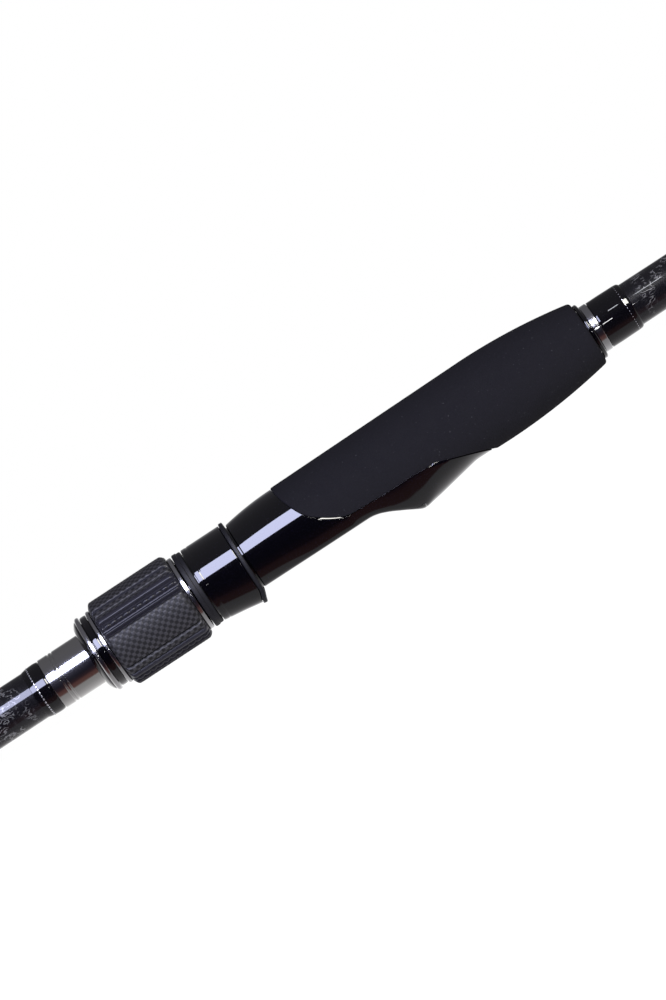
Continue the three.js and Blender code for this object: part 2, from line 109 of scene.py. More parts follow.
@dataclass
class Shell:
    """A grid of points that makes one closed skin.

    Attributes:
        points: Rows by columns by three, in metres.
        station: Rows by columns, the pattern's place along the rod in millimetres.
        turn: Rows by columns, the pattern's place round the rod in turns.
        wrap_rows: The last row joins the first. The last column always does.
    """

    points: np.ndarray
    station: np.ndarray
    turn: np.ndarray
    wrap_rows: bool = True

    def faces(self) -> tuple[np.ndarray, np.ndarray]:
        """Four-cornered faces between neighbouring rows and columns, turned to face outwards.

        Returns:
            The corner numbers of each face, and the pattern's place at each corner.
        """
        rows, columns = self.turn.shape
        row = np.arange(rows if self.wrap_rows else rows - 1)[:, None]
        column = np.arange(columns)[None, :]
        next_row, next_column = (row + 1) % rows, (column + 1) % columns
        corners = [(row, column), (next_row, column), (next_row, next_column), (row, next_column)]
        index = np.stack([r * columns + c + 0 * (row + column) for r, c in corners], -1)
        seam = np.where(column == columns - 1, 1.0, 0.0)
        places = []
        for number, (r, c) in enumerate(corners):
            extra = seam if number >= 2 else 0.0 * seam
            along = self.station[r, c] + 0.0 * (row + column)
            places.append(np.stack([along, self.turn[r, c] + extra + 0.0 * row], -1))
        index, place = index.reshape(-1, 4), np.stack(places, -2).reshape(-1, 4, 2)
        at = self.points.reshape(-1, 3)[index]
        first, second, third, fourth = (at[:, k] for k in range(4))
        volume = np.sum(first * (np.cross(second, third) + np.cross(third, fourth)))
        if volume < 0:
            index, place = index[:, ::-1], place[:, ::-1]
        return index, place


def mesh_of(name: str, shells: list[Shell]) -> bpy.types.Mesh:
    """A mesh from one or more skins, with points that fall together made one.

    Args:
        name: The mesh's name.
        shells: The skins.

    Returns:
        A smooth-shaded mesh with a UV map of millimetres along and turns round.
    """
    points, faces, places, start = [], [], [], 0
    for shell in shells:
        index, place = shell.faces()
        points.append(shell.points.reshape(-1, 3))
        faces.append(index + start)
        places.append(place)
        start += points[-1].shape[0]
    merged = np.round(np.concatenate(points), WELD_DIGITS)
    merged, number = np.unique(merged, axis=0, return_inverse=True)
    faces = number.reshape(-1)[np.concatenate(faces)]
    keep = faces != np.roll(faces, -1, axis=1)
    crossed = (faces[:, 0] == faces[:, 2]) | (faces[:, 1] == faces[:, 3])
    whole = (keep.sum(1) >= 3) & ~crossed
    counts = keep[whole].sum(1)
    loops = faces[whole][keep[whole]]
    mesh = bpy.data.meshes.new(name)
    mesh.vertices.add(len(merged))
    mesh.vertices.foreach_set("co", merged.astype(np.float32).ravel())
    mesh.loops.add(len(loops))
    mesh.loops.foreach_set("vertex_index", loops.astype(np.int32))
    mesh.polygons.add(len(counts))
    starts = np.concatenate([[0], np.cumsum(counts)[:-1]]).astype(np.int32)
    mesh.polygons.foreach_set("loop_start", starts)
    layer = mesh.uv_layers.new(name="surface")
    flat = np.concatenate(places)[whole][keep[whole]].astype(np.float32)
    layer.data.foreach_set("uv", flat.ravel())
    mesh.update(calc_edges=True)
    mesh.validate()
    mesh.shade_smooth()
    mesh.set_sharp_from_angle(angle=SMOOTH_ANGLE)
    return mesh


def rounded(corners: np.ndarray, fillet: float | np.ndarray, steps: int = 5) -> np.ndarray:
    """A closed outline with each corner eased by a curve.

    Each corner P is drawn as the quadratic curve from a point before it to a point after it, with
    P as the handle. The reach is the fillet, but at most 0.45 of the shorter side.

    Args:
        corners: Corner places, two columns.
        fillet: How far a corner's curve reaches, one number or one per corner.
        steps: Points per corner.

    Returns:
        The eased outline.
    """
    at = np.asarray(corners, float)
    back, ahead = np.roll(at, 1, 0) - at, np.roll(at, -1, 0) - at
    back_length, ahead_length = np.hypot(*back.T) + 1e-12, np.hypot(*ahead.T) + 1e-12
    reach = np.minimum(fillet, 0.45 * np.minimum(back_length, ahead_length))
    start = at + back * (reach / back_length)[:, None]
    end = at + ahead * (reach / ahead_length)[:, None]
    t = np.linspace(0, 1, steps)[None, :, None]
    curve = (1 - t) ** 2 * start[:, None] + 2 * t * (1 - t) * at[:, None] + t**2 * end[:, None]
    return curve.reshape(-1, 2)


def spline(points: np.ndarray, at: np.ndarray) -> np.ndarray:
    """A smooth line through points with rising first values.

    Each stretch is the cubic with the line's mean slope at both ends.

    Args:
        points: Two columns, place and value.
        at: Places to read.

    Returns:
        The values there.
    """
    place, value = np.asarray(points, float).T
    slope = np.gradient(value, place)
    low = np.clip(np.searchsorted(place, at) - 1, 0, len(place) - 2)
    length = place[low + 1] - place[low]
    t = np.clip((at - place[low]) / length, 0, 1)
    return (
        value[low] * (1 + 2 * t) * (1 - t) ** 2
        + slope[low] * length * t * (1 - t) ** 2
        + value[low + 1] * t**2 * (3 - 2 * t)
        - slope[low + 1] * length * t**2 * (1 - t)
    )


def eased(low: float, high: float, at: np.ndarray) -> np.ndarray:
    """Nought below low, one above high, and a smooth rise between."""
    t = np.clip((at - low) / (high - low), 0, 1)
    return t * t * (3 - 2 * t)


def blank_radius(station: float, taper: tuple = BUTT_TAPER) -> float:
    """The blank's radius at a station of the rod."""
    places, radii = np.array(taper).T
    return float(np.interp(station, places, radii))


def turns(around: int) -> np.ndarray:
    """Angles of evenly spaced columns round the rod."""
    return np.arange(around) * (2 * np.pi / around)


def about_axis(x: np.ndarray, radius: np.ndarray, angle: np.ndarray, drop: float = 0.0) -> Shell:
    """A skin from stations, radii and angles, all in one grid.

    Y is radius times the sine of the angle and Z radius times its cosine, less the drop.

    Args:
        x: Stations of the rod, in millimetres.
        radius: Radii, in millimetres.
        angle: Angles from the top.
        drop: How far the axis lies below the rod's.

    Returns:
        The skin, closed both ways.
    """
    x, radius, angle = np.broadcast_arrays(x, radius, angle)
    points = np.stack([x, radius * np.sin(angle), radius * np.cos(angle) - drop], -1) * MM
    return Shell(points, x, angle / (2 * np.pi))


def turned(
    corners: list[tuple[float, float]],
    origin: float = 0.0,
    fillet: float = 0.12,
    around: int = 128,
    drop: float = 0.0,
) -> Shell:
    """A closed outline of stations and radii with eased corners, turned about the rod's axis.

    Args:
        corners: Station and radius of each corner, in order round the outline.
        origin: Where the stations are counted from.
        fillet: How far the corners are eased.
        around: Columns round the axis.
        drop: How far the axis lies below the rod's.

    Returns:
        The skin.
    """
    at = np.asarray(corners, float)
    outline = rounded(at, np.where(at[:, 1] > 0.01, fillet, 0.0))
    return about_axis(outline[:, :1] + origin, outline[:, 1:], turns(around)[None, :], drop)


def ring(start: float, end: float, inner: float, outer: float) -> list[tuple[float, float]]:
    """The outline of a plain ring between two stations."""
    return [(start, inner), (start, outer), (end, outer), (end, inner)]


def swept(path: np.ndarray, radius: np.ndarray, sides: int = 14, flatness: float = 1.0) -> Shell:
    """A round bar along a path, with closed ends.

    Each ring of points is the cosine and sine of its angles, times the radius, along the two
    directions square to the path. An end closes by a ring of no size.

    Args:
        path: Places along the middle, in millimetres.
        radius: The radius at each place.
        sides: Points in a ring.
        flatness: The second direction's share of the radius.

    Returns:
        The skin.
    """
    ahead = np.gradient(path, axis=0)
    ahead /= np.linalg.norm(ahead, axis=1)[:, None]
    side = np.cross(ahead, np.array([0.0, 1.0, 0.013]))
    side /= np.linalg.norm(side, axis=1)[:, None]
    other = np.cross(ahead, side)
    path = np.concatenate([path[:1], path, path[-1:]])
    radius = np.concatenate([[0.0], radius, [0.0]])
    side, other = (np.concatenate([d[:1], d, d[-1:]]) for d in (side, other))
    angle = turns(sides)[None, :, None]
    across = np.cos(angle) * other[:, None] + flatness * np.sin(angle) * side[:, None]
    points = (path[:, None] + radius[:, None, None] * across) * MM
    station = np.broadcast_to(path[:, :1], points.shape[:2])
    turn = np.broadcast_to(turns(sides) / (2 * np.pi), points.shape[:2])
    return Shell(points, station, turn, wrap_rows=False)


# ---------------------------------------------------------------- finishes


class Graph:
    """Puts nodes into a node tree and joins them."""

    def __init__(self, tree: bpy.types.NodeTree) -> None:
        """Keeps the tree."""
        self.tree = tree

    def node(self, kind: str, *inputs: object, **settings: object) -> bpy.types.Node:
        """Adds a node.

        Args:
            kind: The node's type, without its "ShaderNode".
            inputs: A value or an output for each of its inputs in order, None to leave one.
            settings: Its properties.

        Returns:
            The node.
        """
        made = self.tree.nodes.new("ShaderNode" + kind)
        for name, value in settings.items():
            setattr(made, name, value)
        for socket, value in zip(made.inputs, inputs):
            self.feed(socket, value)
        return made

    def feed(self, socket: bpy.types.NodeSocket, value: object) -> None:
        """Joins an output to a socket, or sets the socket's own value."""
        if isinstance(value, bpy.types.NodeSocket):
            self.tree.links.new(value, socket)
        elif value is not None:
            socket.default_value = value

    def math(self, operation: str, *inputs: object) -> bpy.types.NodeSocket:
        """One step of arithmetic."""
        return self.node("Math", *inputs, operation=operation).outputs[0]

    def blend(self, share: object, low: object, high: object) -> bpy.types.NodeSocket:
        """A colour between two others."""
        made = self.node("Mix", data_type="RGBA")
        for place, value in ((0, share), (6, low), (7, high)):
            self.feed(made.inputs[place], value)
        return made.outputs[2]

    def spread(self, value: object, low: float, high: float, *to: float) -> bpy.types.NodeSocket:
        """A value carried smoothly from one range to another, and held at its ends."""
        made = self.node("MapRange", value, low, high, *(to or (0.0, 1.0)))
        made.interpolation_type = "SMOOTHSTEP"
        return made.outputs[0]

    def noise(self, place: object, scale: float, detail: float = 4.0) -> bpy.types.NodeSocket:
        """Plain noise at a scale."""
        made = self.node("TexNoise")
        for name, value in (("Vector", place), ("Scale", scale), ("Detail", detail)):
            self.feed(made.inputs[name], value)
        return made.outputs[0]

    def split(self, place: object) -> bpy.types.bpy_prop_collection:
        """The three numbers of a place."""
        return self.node("SeparateXYZ", place).outputs

    def stretched(self, place: object, x: float, y: float, z: float) -> bpy.types.NodeSocket:
        """A place scaled by a number each way."""
        made = self.node("Mapping", place)
        made.inputs["Scale"].default_value = (x, y, z)
        return made.outputs[0]


Colour = tuple[float, float, float, float]


def shade(red: float, green: float, blue: float) -> Colour:
    """An opaque colour."""
    return (red, green, blue, 1.0)


class Effect:
    """A shader node group that several finishes share."""

    name = "effect"
    takes: tuple[tuple[str, str, float], ...] = ()
    gives: tuple[str, ...] = ()

    def __init__(self) -> None:
        """Builds the group once."""
        self.group = bpy.data.node_groups.new(self.name, "ShaderNodeTree")
        for title, kind, value in self.takes:
            socket = self.group.interface.new_socket(title, in_out="INPUT", socket_type=kind)
            if kind == "NodeSocketFloat":
                socket.default_value = value
        for title in self.gives:
            self.group.interface.new_socket(title, in_out="OUTPUT", socket_type="NodeSocketFloat")
        graph = Graph(self.group)
        self.start = self.group.nodes.new("NodeGroupInput").outputs
        self.end = self.group.nodes.new("NodeGroupOutput").inputs
        self.draw(graph)

    def draw(self, graph: Graph) -> None:
        """Draws the group's nodes between self.start and self.end."""
        raise NotImplementedError

    def put(self, graph: Graph, **values: object) -> bpy.types.bpy_prop_collection:
        """Places the group in a material.

        Args:
            graph: The material's graph.
            values: The group's inputs by name.

        Returns:
            The group's outputs.
        """
        made = graph.node("Group", node_tree=self.group)
        for title, value in values.items():
            graph.feed(made.inputs[title], value)
        return made.outputs


class Grain(Effect):
    """Fine pits and lumps: two scales of noise, one ten times the other."""

    name = "grain"
    takes = (("Place", "NodeSocketVector", 0.0), ("Scale", "NodeSocketFloat", 900.0))
    gives = ("Height", "Tone")

    def draw(self, graph: Graph) -> None:
        """Height is mostly the fine noise, tone mostly the coarse."""
        fine = graph.noise(self.start["Place"], self.start["Scale"], 3.0)
        coarse_scale = graph.math("MULTIPLY", self.start["Scale"], 0.1)
        coarse = graph.noise(self.start["Place"], coarse_scale, 3.0)
        height = graph.math("MULTIPLY_ADD", coarse, 0.35, fine)
        tone = graph.math("MULTIPLY_ADD", fine, 0.4, graph.math("MULTIPLY", coarse, 0.6))
        graph.feed(self.end["Height"], height)
        graph.feed(self.end["Tone"], tone)


class Handling(Effect):
    """Faint smears and hairline scratches that a polished surface picks up."""

    name = "handling"
    takes = (("Place", "NodeSocketVector", 0.0),)
    gives = ("Smear", "Scratch")

    def draw(self, graph: Graph) -> None:
        """Smears are soft noise drawn out along the rod, scratches are thin streaks of noise."""
        place = self.start["Place"]
        smear = graph.noise(graph.stretched(place, 30.0, 90.0, 90.0), 1.0, 5.0)
        streak = graph.noise(graph.stretched(place, 2600.0, 160.0, 160.0), 1.0, 2.0)
        graph.feed(self.end["Smear"], graph.spread(smear, 0.45, 0.75))
        graph.feed(self.end["Scratch"], graph.spread(streak, 0.66, 0.74))


class Turning(Effect):
    """Tool lines of a lathe: noise that changes only along the axis."""

    name = "turning"
    takes = (("Place", "NodeSocketVector", 0.0), ("Lines", "NodeSocketFloat", 9000.0))
    gives = ("Height", "Tone")

    def draw(self, graph: Graph) -> None:
        """The noise is read at the station times the number of lines per metre."""
        along = graph.split(self.start["Place"])[0]
        run = graph.math("MULTIPLY", along, self.start["Lines"])
        line = graph.node("TexNoise", noise_dimensions="1D")
        graph.feed(line.inputs["W"], run)
        line.inputs["Scale"].default_value = 1.0
        line.inputs["Detail"].default_value = 2.0
        broad = graph.noise(self.start["Place"], 120.0, 3.0)
        graph.feed(self.end["Height"], line.outputs[0])
        graph.feed(self.end["Tone"], graph.math("MULTIPLY_ADD", broad, 0.5, line.outputs[0]))


class Windings(Effect):
    """Turns of thread side by side: the round of a circle repeated along the axis."""

    name = "windings"
    takes = (("Place", "NodeSocketVector", 0.0), ("Pitch", "NodeSocketFloat", 0.0002))
    gives = ("Height", "GapShade")

    def draw(self, graph: Graph) -> None:
        """Height is the root of one minus the square of the distance from the thread's middle."""
        along = graph.split(self.start["Place"])[0]
        share = graph.math("FRACT", graph.math("DIVIDE", along, self.start["Pitch"]))
        off = graph.math("MULTIPLY_ADD", share, 2.0, -1.0)
        square = graph.math("SUBTRACT", 1.0, graph.math("MULTIPLY", off, off))
        height = graph.math("SQRT", graph.math("MAXIMUM", square, 0.0))
        graph.feed(self.end["Height"], height)
        # The gap mask is painted shade: one in the valleys between turns, nought on their crowns.
        graph.feed(self.end["GapShade"], graph.spread(height, 0.55, 0.1))


class Weave(Effect):
    """Plain woven cloth of flat tows: the product of two sines, squared off."""

    name = "weave"
    takes = (
        ("Surface", "NodeSocketVector", 0.0),
        ("Cell", "NodeSocketFloat", 1.0),
        ("Round", "NodeSocketFloat", 80.0),
    )
    gives = ("Height", "Warp", "Fibre")

    def draw(self, graph: Graph) -> None:
        """Warp is one where a lengthwise tow lies on top, fibre is noise drawn out along the tow."""
        along, round_, _ = graph.split(self.start["Surface"])
        lengthwise = graph.math("DIVIDE", along, self.start["Cell"])
        crosswise = graph.math("MULTIPLY", round_, self.start["Round"])
        first = graph.math("SINE", graph.math("MULTIPLY", lengthwise, math.pi))
        second = graph.math("SINE", graph.math("MULTIPLY", crosswise, math.pi))
        product = graph.math("MULTIPLY", first, second)
        warp = graph.spread(product, -0.16, 0.16)
        crown = graph.math("POWER", graph.math("ABSOLUTE", product), 0.35)
        tow = graph.node("CombineXYZ", lengthwise, crosswise).outputs[0]
        with_grain = graph.noise(graph.stretched(tow, 2.0, 14.0, 1.0), 1.0, 2.0)
        across_grain = graph.noise(graph.stretched(tow, 14.0, 2.0, 1.0), 1.0, 2.0)
        fibre = graph.node("Mix", warp)
        graph.feed(fibre.inputs[2], across_grain)
        graph.feed(fibre.inputs[3], with_grain)
        graph.feed(self.end["Height"], crown)
        graph.feed(self.end["Warp"], warp)
        graph.feed(self.end["Fibre"], fibre.outputs[0])


class Effects:
    """All shared groups, each built once."""

    def __init__(self) -> None:
        """Builds the groups."""
        self.grain = Grain()
        self.handling = Handling()
        self.turning = Turning()
        self.windings = Windings()
        self.weave = Weave()


@dataclass(frozen=True)
class Finish:
    """A finish and the shader numbers that are the same all over it.

    Attributes:
        base: The ground colour.
        accent: The second colour of its pattern.
        roughness: How rough it is where nothing varies it.
        metallic: One for bare metal.
        coat: One under clear resin or lacquer.
        coat_roughness: The lacquer's own roughness.
        specular: The strength of the reflection straight on.
        sheen: Soft light at grazing angles.
        coat_ior: The lacquer's refractive index.
    """

    base: Colour
    accent: Colour
    roughness: float
    metallic: float = 0.0
    coat: float = 0.0
    coat_roughness: float = 0.02
    specular: float = 0.5
    sheen: float = 0.0
    coat_ior: float = 1.5

    def material(self, name: str, effects: Effects) -> bpy.types.Material:
        """Makes the material.

        Args:
            name: Its name.
            effects: The shared groups.

        Returns:
            The material.
        """
        made = bpy.data.materials.new(name)
        made.use_nodes = True
        made.node_tree.nodes.clear()
        graph = Graph(made.node_tree)
        shader = graph.node("BsdfPrincipled")
        plain = {
            "Base Color": self.base, "Roughness": self.roughness, "Metallic": self.metallic,
            "Coat Weight": self.coat, "Coat Roughness": self.coat_roughness,
            "Coat IOR": self.coat_ior,
            "Specular IOR Level": self.specular, "Sheen Weight": self.sheen,
        }
        for title, value in plain.items():
            shader.inputs[title].default_value = value
        output = graph.node("OutputMaterial")
        graph.feed(output.inputs["Surface"], shader.outputs[0])
        places = graph.node("TexCoord").outputs
        self.dress(graph, shader.inputs, places["Object"], places["UV"], effects)
        return made

    def dress(self, graph: Graph, sockets: object, place: object, surface: object,
              effects: Effects) -> None:
        """Draws what varies over the surface.

        Args:
            graph: The material's graph.
            sockets: The shader's inputs.
            place: Object coordinates.
            surface: The piece's UV map.
            effects: The shared groups.
        """
        raise NotImplementedError

    def relief(self, graph: Graph, sockets: object, height: object, depth: float,
               strength: float = 1.0) -> None:
        """Feeds a height to the shader's normal through a bump node, its depth in metres."""
        bump = graph.node("Bump")
        bump.inputs["Strength"].default_value = strength
        bump.inputs["Distance"].default_value = depth
        graph.feed(bump.inputs["Height"], height)
        graph.feed(sockets["Normal"], bump.outputs[0])


class Lacquer(Finish):
    """Black mirror lacquer with faint smears, hairlines and a trace of orange peel."""

    def dress(self, graph: Graph, sockets: object, place: object, surface: object,
              effects: Effects) -> None:
        """Smears lift the roughness, and scratches lift it more."""
        marks = effects.handling.put(graph, Place=place)
        rough = graph.math("MULTIPLY_ADD", marks["Smear"], 0.05, self.roughness)
        rough = graph.math("MULTIPLY_ADD", marks["Scratch"], 0.12, rough)
        graph.feed(sockets["Roughness"], rough)
        tone = effects.grain.put(graph, Place=place, Scale=400.0)
        graph.feed(sockets["Base Color"], graph.blend(tone["Tone"], self.base, self.accent))
        self.relief(graph, sockets, graph.noise(place, 260.0, 1.0), 0.000004)


class CarbonBlank(Finish):
    """Clear-coated carbon with spiral tape and bands of silvery ornament near the handle.

    A zone is the stations between which the ornament fades in, and those where it fades out.
    """

    ZONES = ((134.0, 138.0, 214.0, 217.0), (413.0, 416.0, 505.0, 520.0))
    CONTOURS = 11.0
    DULL_SILVER = shade(0.055, 0.054, 0.056)
    BRIGHT_SILVER = shade(0.2, 0.196, 0.192)
    TAPE_TURNS = 6.0
    TAPE_PER_MM = 2.1

    def ornament(self, graph: Graph, place: object, surface: object) -> bpy.types.NodeSocket:
        """Where the ornament lies: thin level lines of noise and a lace of small cells.

        Args:
            graph: The material's graph.
            place: Object coordinates.
            surface: The piece's UV map.

        Returns:
            A mask.
        """
        along = graph.split(surface)[0]
        rear, front = (
            graph.math("MULTIPLY", graph.spread(along, begin, full),
                       graph.spread(along, fading, gone, 1.0, 0.0))
            for begin, full, fading, gone in self.ZONES
        )
        zone = graph.math("ADD", rear, front)
        swirl = graph.noise(graph.stretched(place, 150.0, 260.0, 260.0), 1.0, 4.0)
        level = graph.math("FRACT", graph.math("MULTIPLY", swirl, self.CONTOURS))
        line = graph.spread(graph.math("ABSOLUTE", graph.math("SUBTRACT", level, 0.5)),
                            0.03, 0.2, 1.0, 0.0)
        patch = graph.spread(graph.noise(place, 210.0, 2.0), 0.47, 0.58)
        cells = graph.node("TexVoronoi", feature="DISTANCE_TO_EDGE")
        graph.feed(cells.inputs["Vector"], graph.stretched(place, 420.0, 560.0, 560.0))
        cells.inputs["Scale"].default_value = 1.0
        lace = graph.math("MULTIPLY", graph.spread(cells.outputs[0], 0.1, 0.02),
                          graph.spread(swirl, 0.56, 0.62))
        drawn = graph.math("MAXIMUM", graph.math("MULTIPLY", line, patch),
                           graph.math("MULTIPLY", lace, 0.6))
        return graph.math("MULTIPLY", drawn, zone)

    def dress(self, graph: Graph, sockets: object, place: object, surface: object,
              effects: Effects) -> None:
        """Tape edges are a sine along the station plus whole turns, both ways round."""
        along, round_, _ = graph.split(surface)
        tapes = []
        for turns_round in (self.TAPE_TURNS, -self.TAPE_TURNS):
            twist = graph.math("MULTIPLY", round_, turns_round * 2 * math.pi)
            phase = graph.math("MULTIPLY_ADD", along, self.TAPE_PER_MM, twist)
            tapes.append(graph.spread(graph.math("SINE", phase), 0.2, 1.0))
        tape = graph.math("MULTIPLY", tapes[0], tapes[1])
        grain = effects.grain.put(graph, Place=place, Scale=700.0)
        tone = graph.math("MULTIPLY_ADD", tape, 0.5, graph.math("MULTIPLY", grain["Tone"], 0.4))
        black = graph.blend(tone, self.base, self.accent)
        drawn = self.ornament(graph, place, surface)
        silver = graph.blend(grain["Tone"], self.DULL_SILVER, self.BRIGHT_SILVER)
        graph.feed(sockets["Base Color"], graph.blend(drawn, black, silver))
        graph.feed(sockets["Metallic"], graph.math("MULTIPLY", drawn, 0.5))
        marks = effects.handling.put(graph, Place=place)
        graph.feed(sockets["Roughness"], graph.math("MULTIPLY_ADD", marks["Smear"], 0.06,
                                                    self.roughness))
        self.relief(graph, sockets, tape, 0.000006)


class ThreadUnderResin(Finish):
    """Fine black thread, wound turn by turn, under clear resin, with painted shade between the
    turns.
    """

    def dress(self, graph: Graph, sockets: object, place: object, surface: object,
              effects: Effects) -> None:
        """The thread shapes the ground layer only, and the coat stays smooth."""
        thread = effects.windings.put(graph, Place=place, Pitch=0.00018)
        # Painted shade: the ground colour is darker in the valleys between turns and lighter on
        # their crowns.
        graph.feed(sockets["Base Color"], graph.blend(thread["GapShade"], self.accent, self.base))
        marks = effects.handling.put(graph, Place=place)
        graph.feed(sockets["Roughness"], graph.math("MULTIPLY_ADD", marks["Smear"], 0.08,
                                                    self.roughness))
        self.relief(graph, sockets, thread["Height"], 0.00002, 0.6)


class Foam(Finish):
    """Matte closed-cell foam with a skin of fine pores and a trace of pale dust."""

    DUST = shade(0.12, 0.12, 0.125)
    PORE_SCALE = 3200.0

    def dress(self, graph: Graph, sockets: object, place: object, surface: object,
              effects: Effects) -> None:
        """Pores are the edges of small cells, and dust is the very top of a fine noise."""
        grain = effects.grain.put(graph, Place=place, Scale=2600.0)
        tone = graph.blend(grain["Tone"], self.base, self.accent)
        dust = graph.spread(graph.noise(place, 1900.0, 1.0), 0.74, 0.8, 0.0, 0.18)
        graph.feed(sockets["Base Color"], graph.blend(dust, tone, self.DUST))
        cells = graph.node("TexVoronoi", feature="F1")
        graph.feed(cells.inputs["Vector"], place)
        cells.inputs["Scale"].default_value = self.PORE_SCALE
        height = graph.math("MULTIPLY_ADD", grain["Height"], 0.8, cells.outputs[0])
        self.relief(graph, sockets, height, 0.00006, 0.8)
        graph.feed(sockets["Roughness"], graph.spread(grain["Tone"], 0.3, 0.7, 0.86, 0.98))


class Moulded(Finish):
    """Moulded rubber or nylon: satin, finely stippled, a little polished in places."""

    def dress(self, graph: Graph, sockets: object, place: object, surface: object,
              effects: Effects) -> None:
        """The stipple is fine grain, and smears polish it."""
        grain = effects.grain.put(graph, Place=place, Scale=1800.0)
        graph.feed(sockets["Base Color"], graph.blend(grain["Tone"], self.base, self.accent))
        marks = effects.handling.put(graph, Place=place)
        graph.feed(sockets["Roughness"], graph.math("MULTIPLY_ADD", marks["Smear"], -0.12,
                                                    self.roughness))
        self.relief(graph, sockets, grain["Height"], 0.00003, 0.5)


class WovenGrip(Finish):
    """Satin carbon cloth on the nut's panels, plain satin ribs between them."""

    RIB_DARK = shade(0.008, 0.0078, 0.011)
    RIB_LIGHT = shade(0.014, 0.0135, 0.018)
    RIB_ROUGHNESS = 0.3
    SEAM = 0.008

    def dress(self, graph: Graph, sockets: object, place: object, surface: object,
              effects: Effects) -> None:
        """A quarter turn's share tells panels from ribs: see LockNut.quarter_share."""
        weave = effects.weave.put(graph, Surface=surface, Cell=LockNut.CELL,
                                  Round=float(LockNut.CELLS_ROUND))
        turn = graph.split(surface)[1]
        share = graph.math("FRACT", graph.math("MULTIPLY_ADD", turn, -4.0, LockNut.SHARE_OFFSET))
        cloth = None
        for low, high in LockNut.CLOTH:
            rise = graph.spread(share, low - self.SEAM, low + self.SEAM)
            fall = graph.spread(share, high - self.SEAM, high + self.SEAM, 1.0, 0.0)
            strip = graph.math("MULTIPLY", rise, fall)
            cloth = strip if cloth is None else graph.math("ADD", cloth, strip)
        fibre = graph.spread(weave["Fibre"], 0.3, 0.7, 0.75, 1.25)
        warp = graph.blend(weave["Warp"], self.base, self.accent)
        towed = graph.node("VectorMath", warp, operation="SCALE")
        graph.feed(towed.inputs["Scale"], fibre)
        grain = effects.grain.put(graph, Place=place, Scale=2200.0)
        rib = graph.blend(grain["Tone"], self.RIB_DARK, self.RIB_LIGHT)
        graph.feed(sockets["Base Color"], graph.blend(cloth, rib, towed.outputs[0]))
        rough = graph.spread(weave["Warp"], 0.0, 1.0, self.roughness + 0.12, self.roughness)
        mixed = graph.node("Mix", cloth)
        graph.feed(mixed.inputs[2], self.RIB_ROUGHNESS)
        graph.feed(mixed.inputs[3], rough)
        graph.feed(sockets["Roughness"], mixed.outputs[0])
        height = graph.math("MULTIPLY", weave["Height"], cloth)
        height = graph.math("MULTIPLY_ADD", grain["Height"], 0.25, height)
        self.relief(graph, sockets, height, 0.00004, 0.6)


class TurnedMetal(Finish):
    """Lathe-turned metal, polished, with fine lines round it."""

    def dress(self, graph: Graph, sockets: object, place: object, surface: object,
              effects: Effects) -> None:
        """Lines and smears vary the roughness, and the tone varies the colour."""
        lines = effects.turning.put(graph, Place=place, Lines=14000.0)
        graph.feed(sockets["Base Color"], graph.blend(lines["Tone"], self.base, self.accent))
        marks = effects.handling.put(graph, Place=place)
        rough = graph.math("MULTIPLY_ADD", lines["Height"], 0.08, self.roughness - 0.04)
        rough = graph.math("MULTIPLY_ADD", marks["Smear"], 0.06, rough)
        graph.feed(sockets["Roughness"], rough)
        self.relief(graph, sockets, lines["Height"], 0.0000012, 0.5)


class MetalThread(Finish):
    """A silver trim thread: bright beads of twisted metal foil, and painted shade between them."""

    def dress(self, graph: Graph, sockets: object, place: object, surface: object,
              effects: Effects) -> None:
        """The beads are a sine of whole turns, and noise dims some of them."""
        turn = graph.split(surface)[1]
        bead = graph.math("SINE", graph.math("MULTIPLY", turn, 2 * math.pi * TrimThread.BEADS))
        uneven = graph.noise(place, 2500.0, 1.0)
        mask = graph.spread(graph.math("MULTIPLY_ADD", uneven, 1.2, bead), -0.2, 1.0)
        # Painted shade: the near-black second colour lies in the pinches between beads, where the
        # thread's radius dips; the noise only varies the beads at random.
        graph.feed(sockets["Base Color"], graph.blend(mask, self.accent, self.base))
        graph.feed(sockets["Roughness"], graph.spread(mask, 0.0, 1.0, 0.55, self.roughness))


FINISHES: dict[Slot, Finish] = {
    Slot.GLOSS: Lacquer(shade(0.0003, 0.0003, 0.0006), shade(0.0007, 0.0006, 0.0012), 0.03,
                        coat=1.0, coat_roughness=0.015),
    Slot.BLANK: CarbonBlank(shade(0.0018, 0.0017, 0.0024), shade(0.008, 0.0076, 0.009), 0.3,
                            coat=1.0, coat_roughness=0.02, specular=0.1, coat_ior=1.6),
    # The thread's base colour is painted shade in the valleys between turns, its accent the crowns.
    Slot.THREAD: ThreadUnderResin(shade(0.0004, 0.0004, 0.0006), shade(0.0012, 0.0011, 0.0015),
                                  0.5, coat=1.0, coat_roughness=0.015, specular=0.0,
                                  coat_ior=1.7),
    Slot.FOAM: Foam(shade(0.0030, 0.0028, 0.0041), shade(0.0054, 0.0050, 0.0071), 0.95,
                    specular=0.15),
    Slot.RUBBER: Moulded(shade(0.0035, 0.0034, 0.0048), shade(0.006, 0.0058, 0.0075), 0.55,
                         specular=0.3),
    Slot.WEAVE: WovenGrip(shade(0.005, 0.0048, 0.0056), shade(0.021, 0.0203, 0.0225), 0.42,
                          specular=0.35),
    Slot.STEEL: TurnedMetal(shade(0.5, 0.5, 0.52), shade(0.66, 0.66, 0.67), 0.16, metallic=1.0),
    Slot.GUNMETAL: TurnedMetal(shade(0.58, 0.575, 0.57), shade(0.7, 0.695, 0.68), 0.11,
                               metallic=1.0),
    Slot.CERAMIC: Lacquer(shade(0.012, 0.012, 0.014), shade(0.02, 0.02, 0.023), 0.06,
                          specular=0.7),
    Slot.NYLON: Moulded(shade(0.03, 0.03, 0.033), shade(0.045, 0.045, 0.05), 0.5),
}
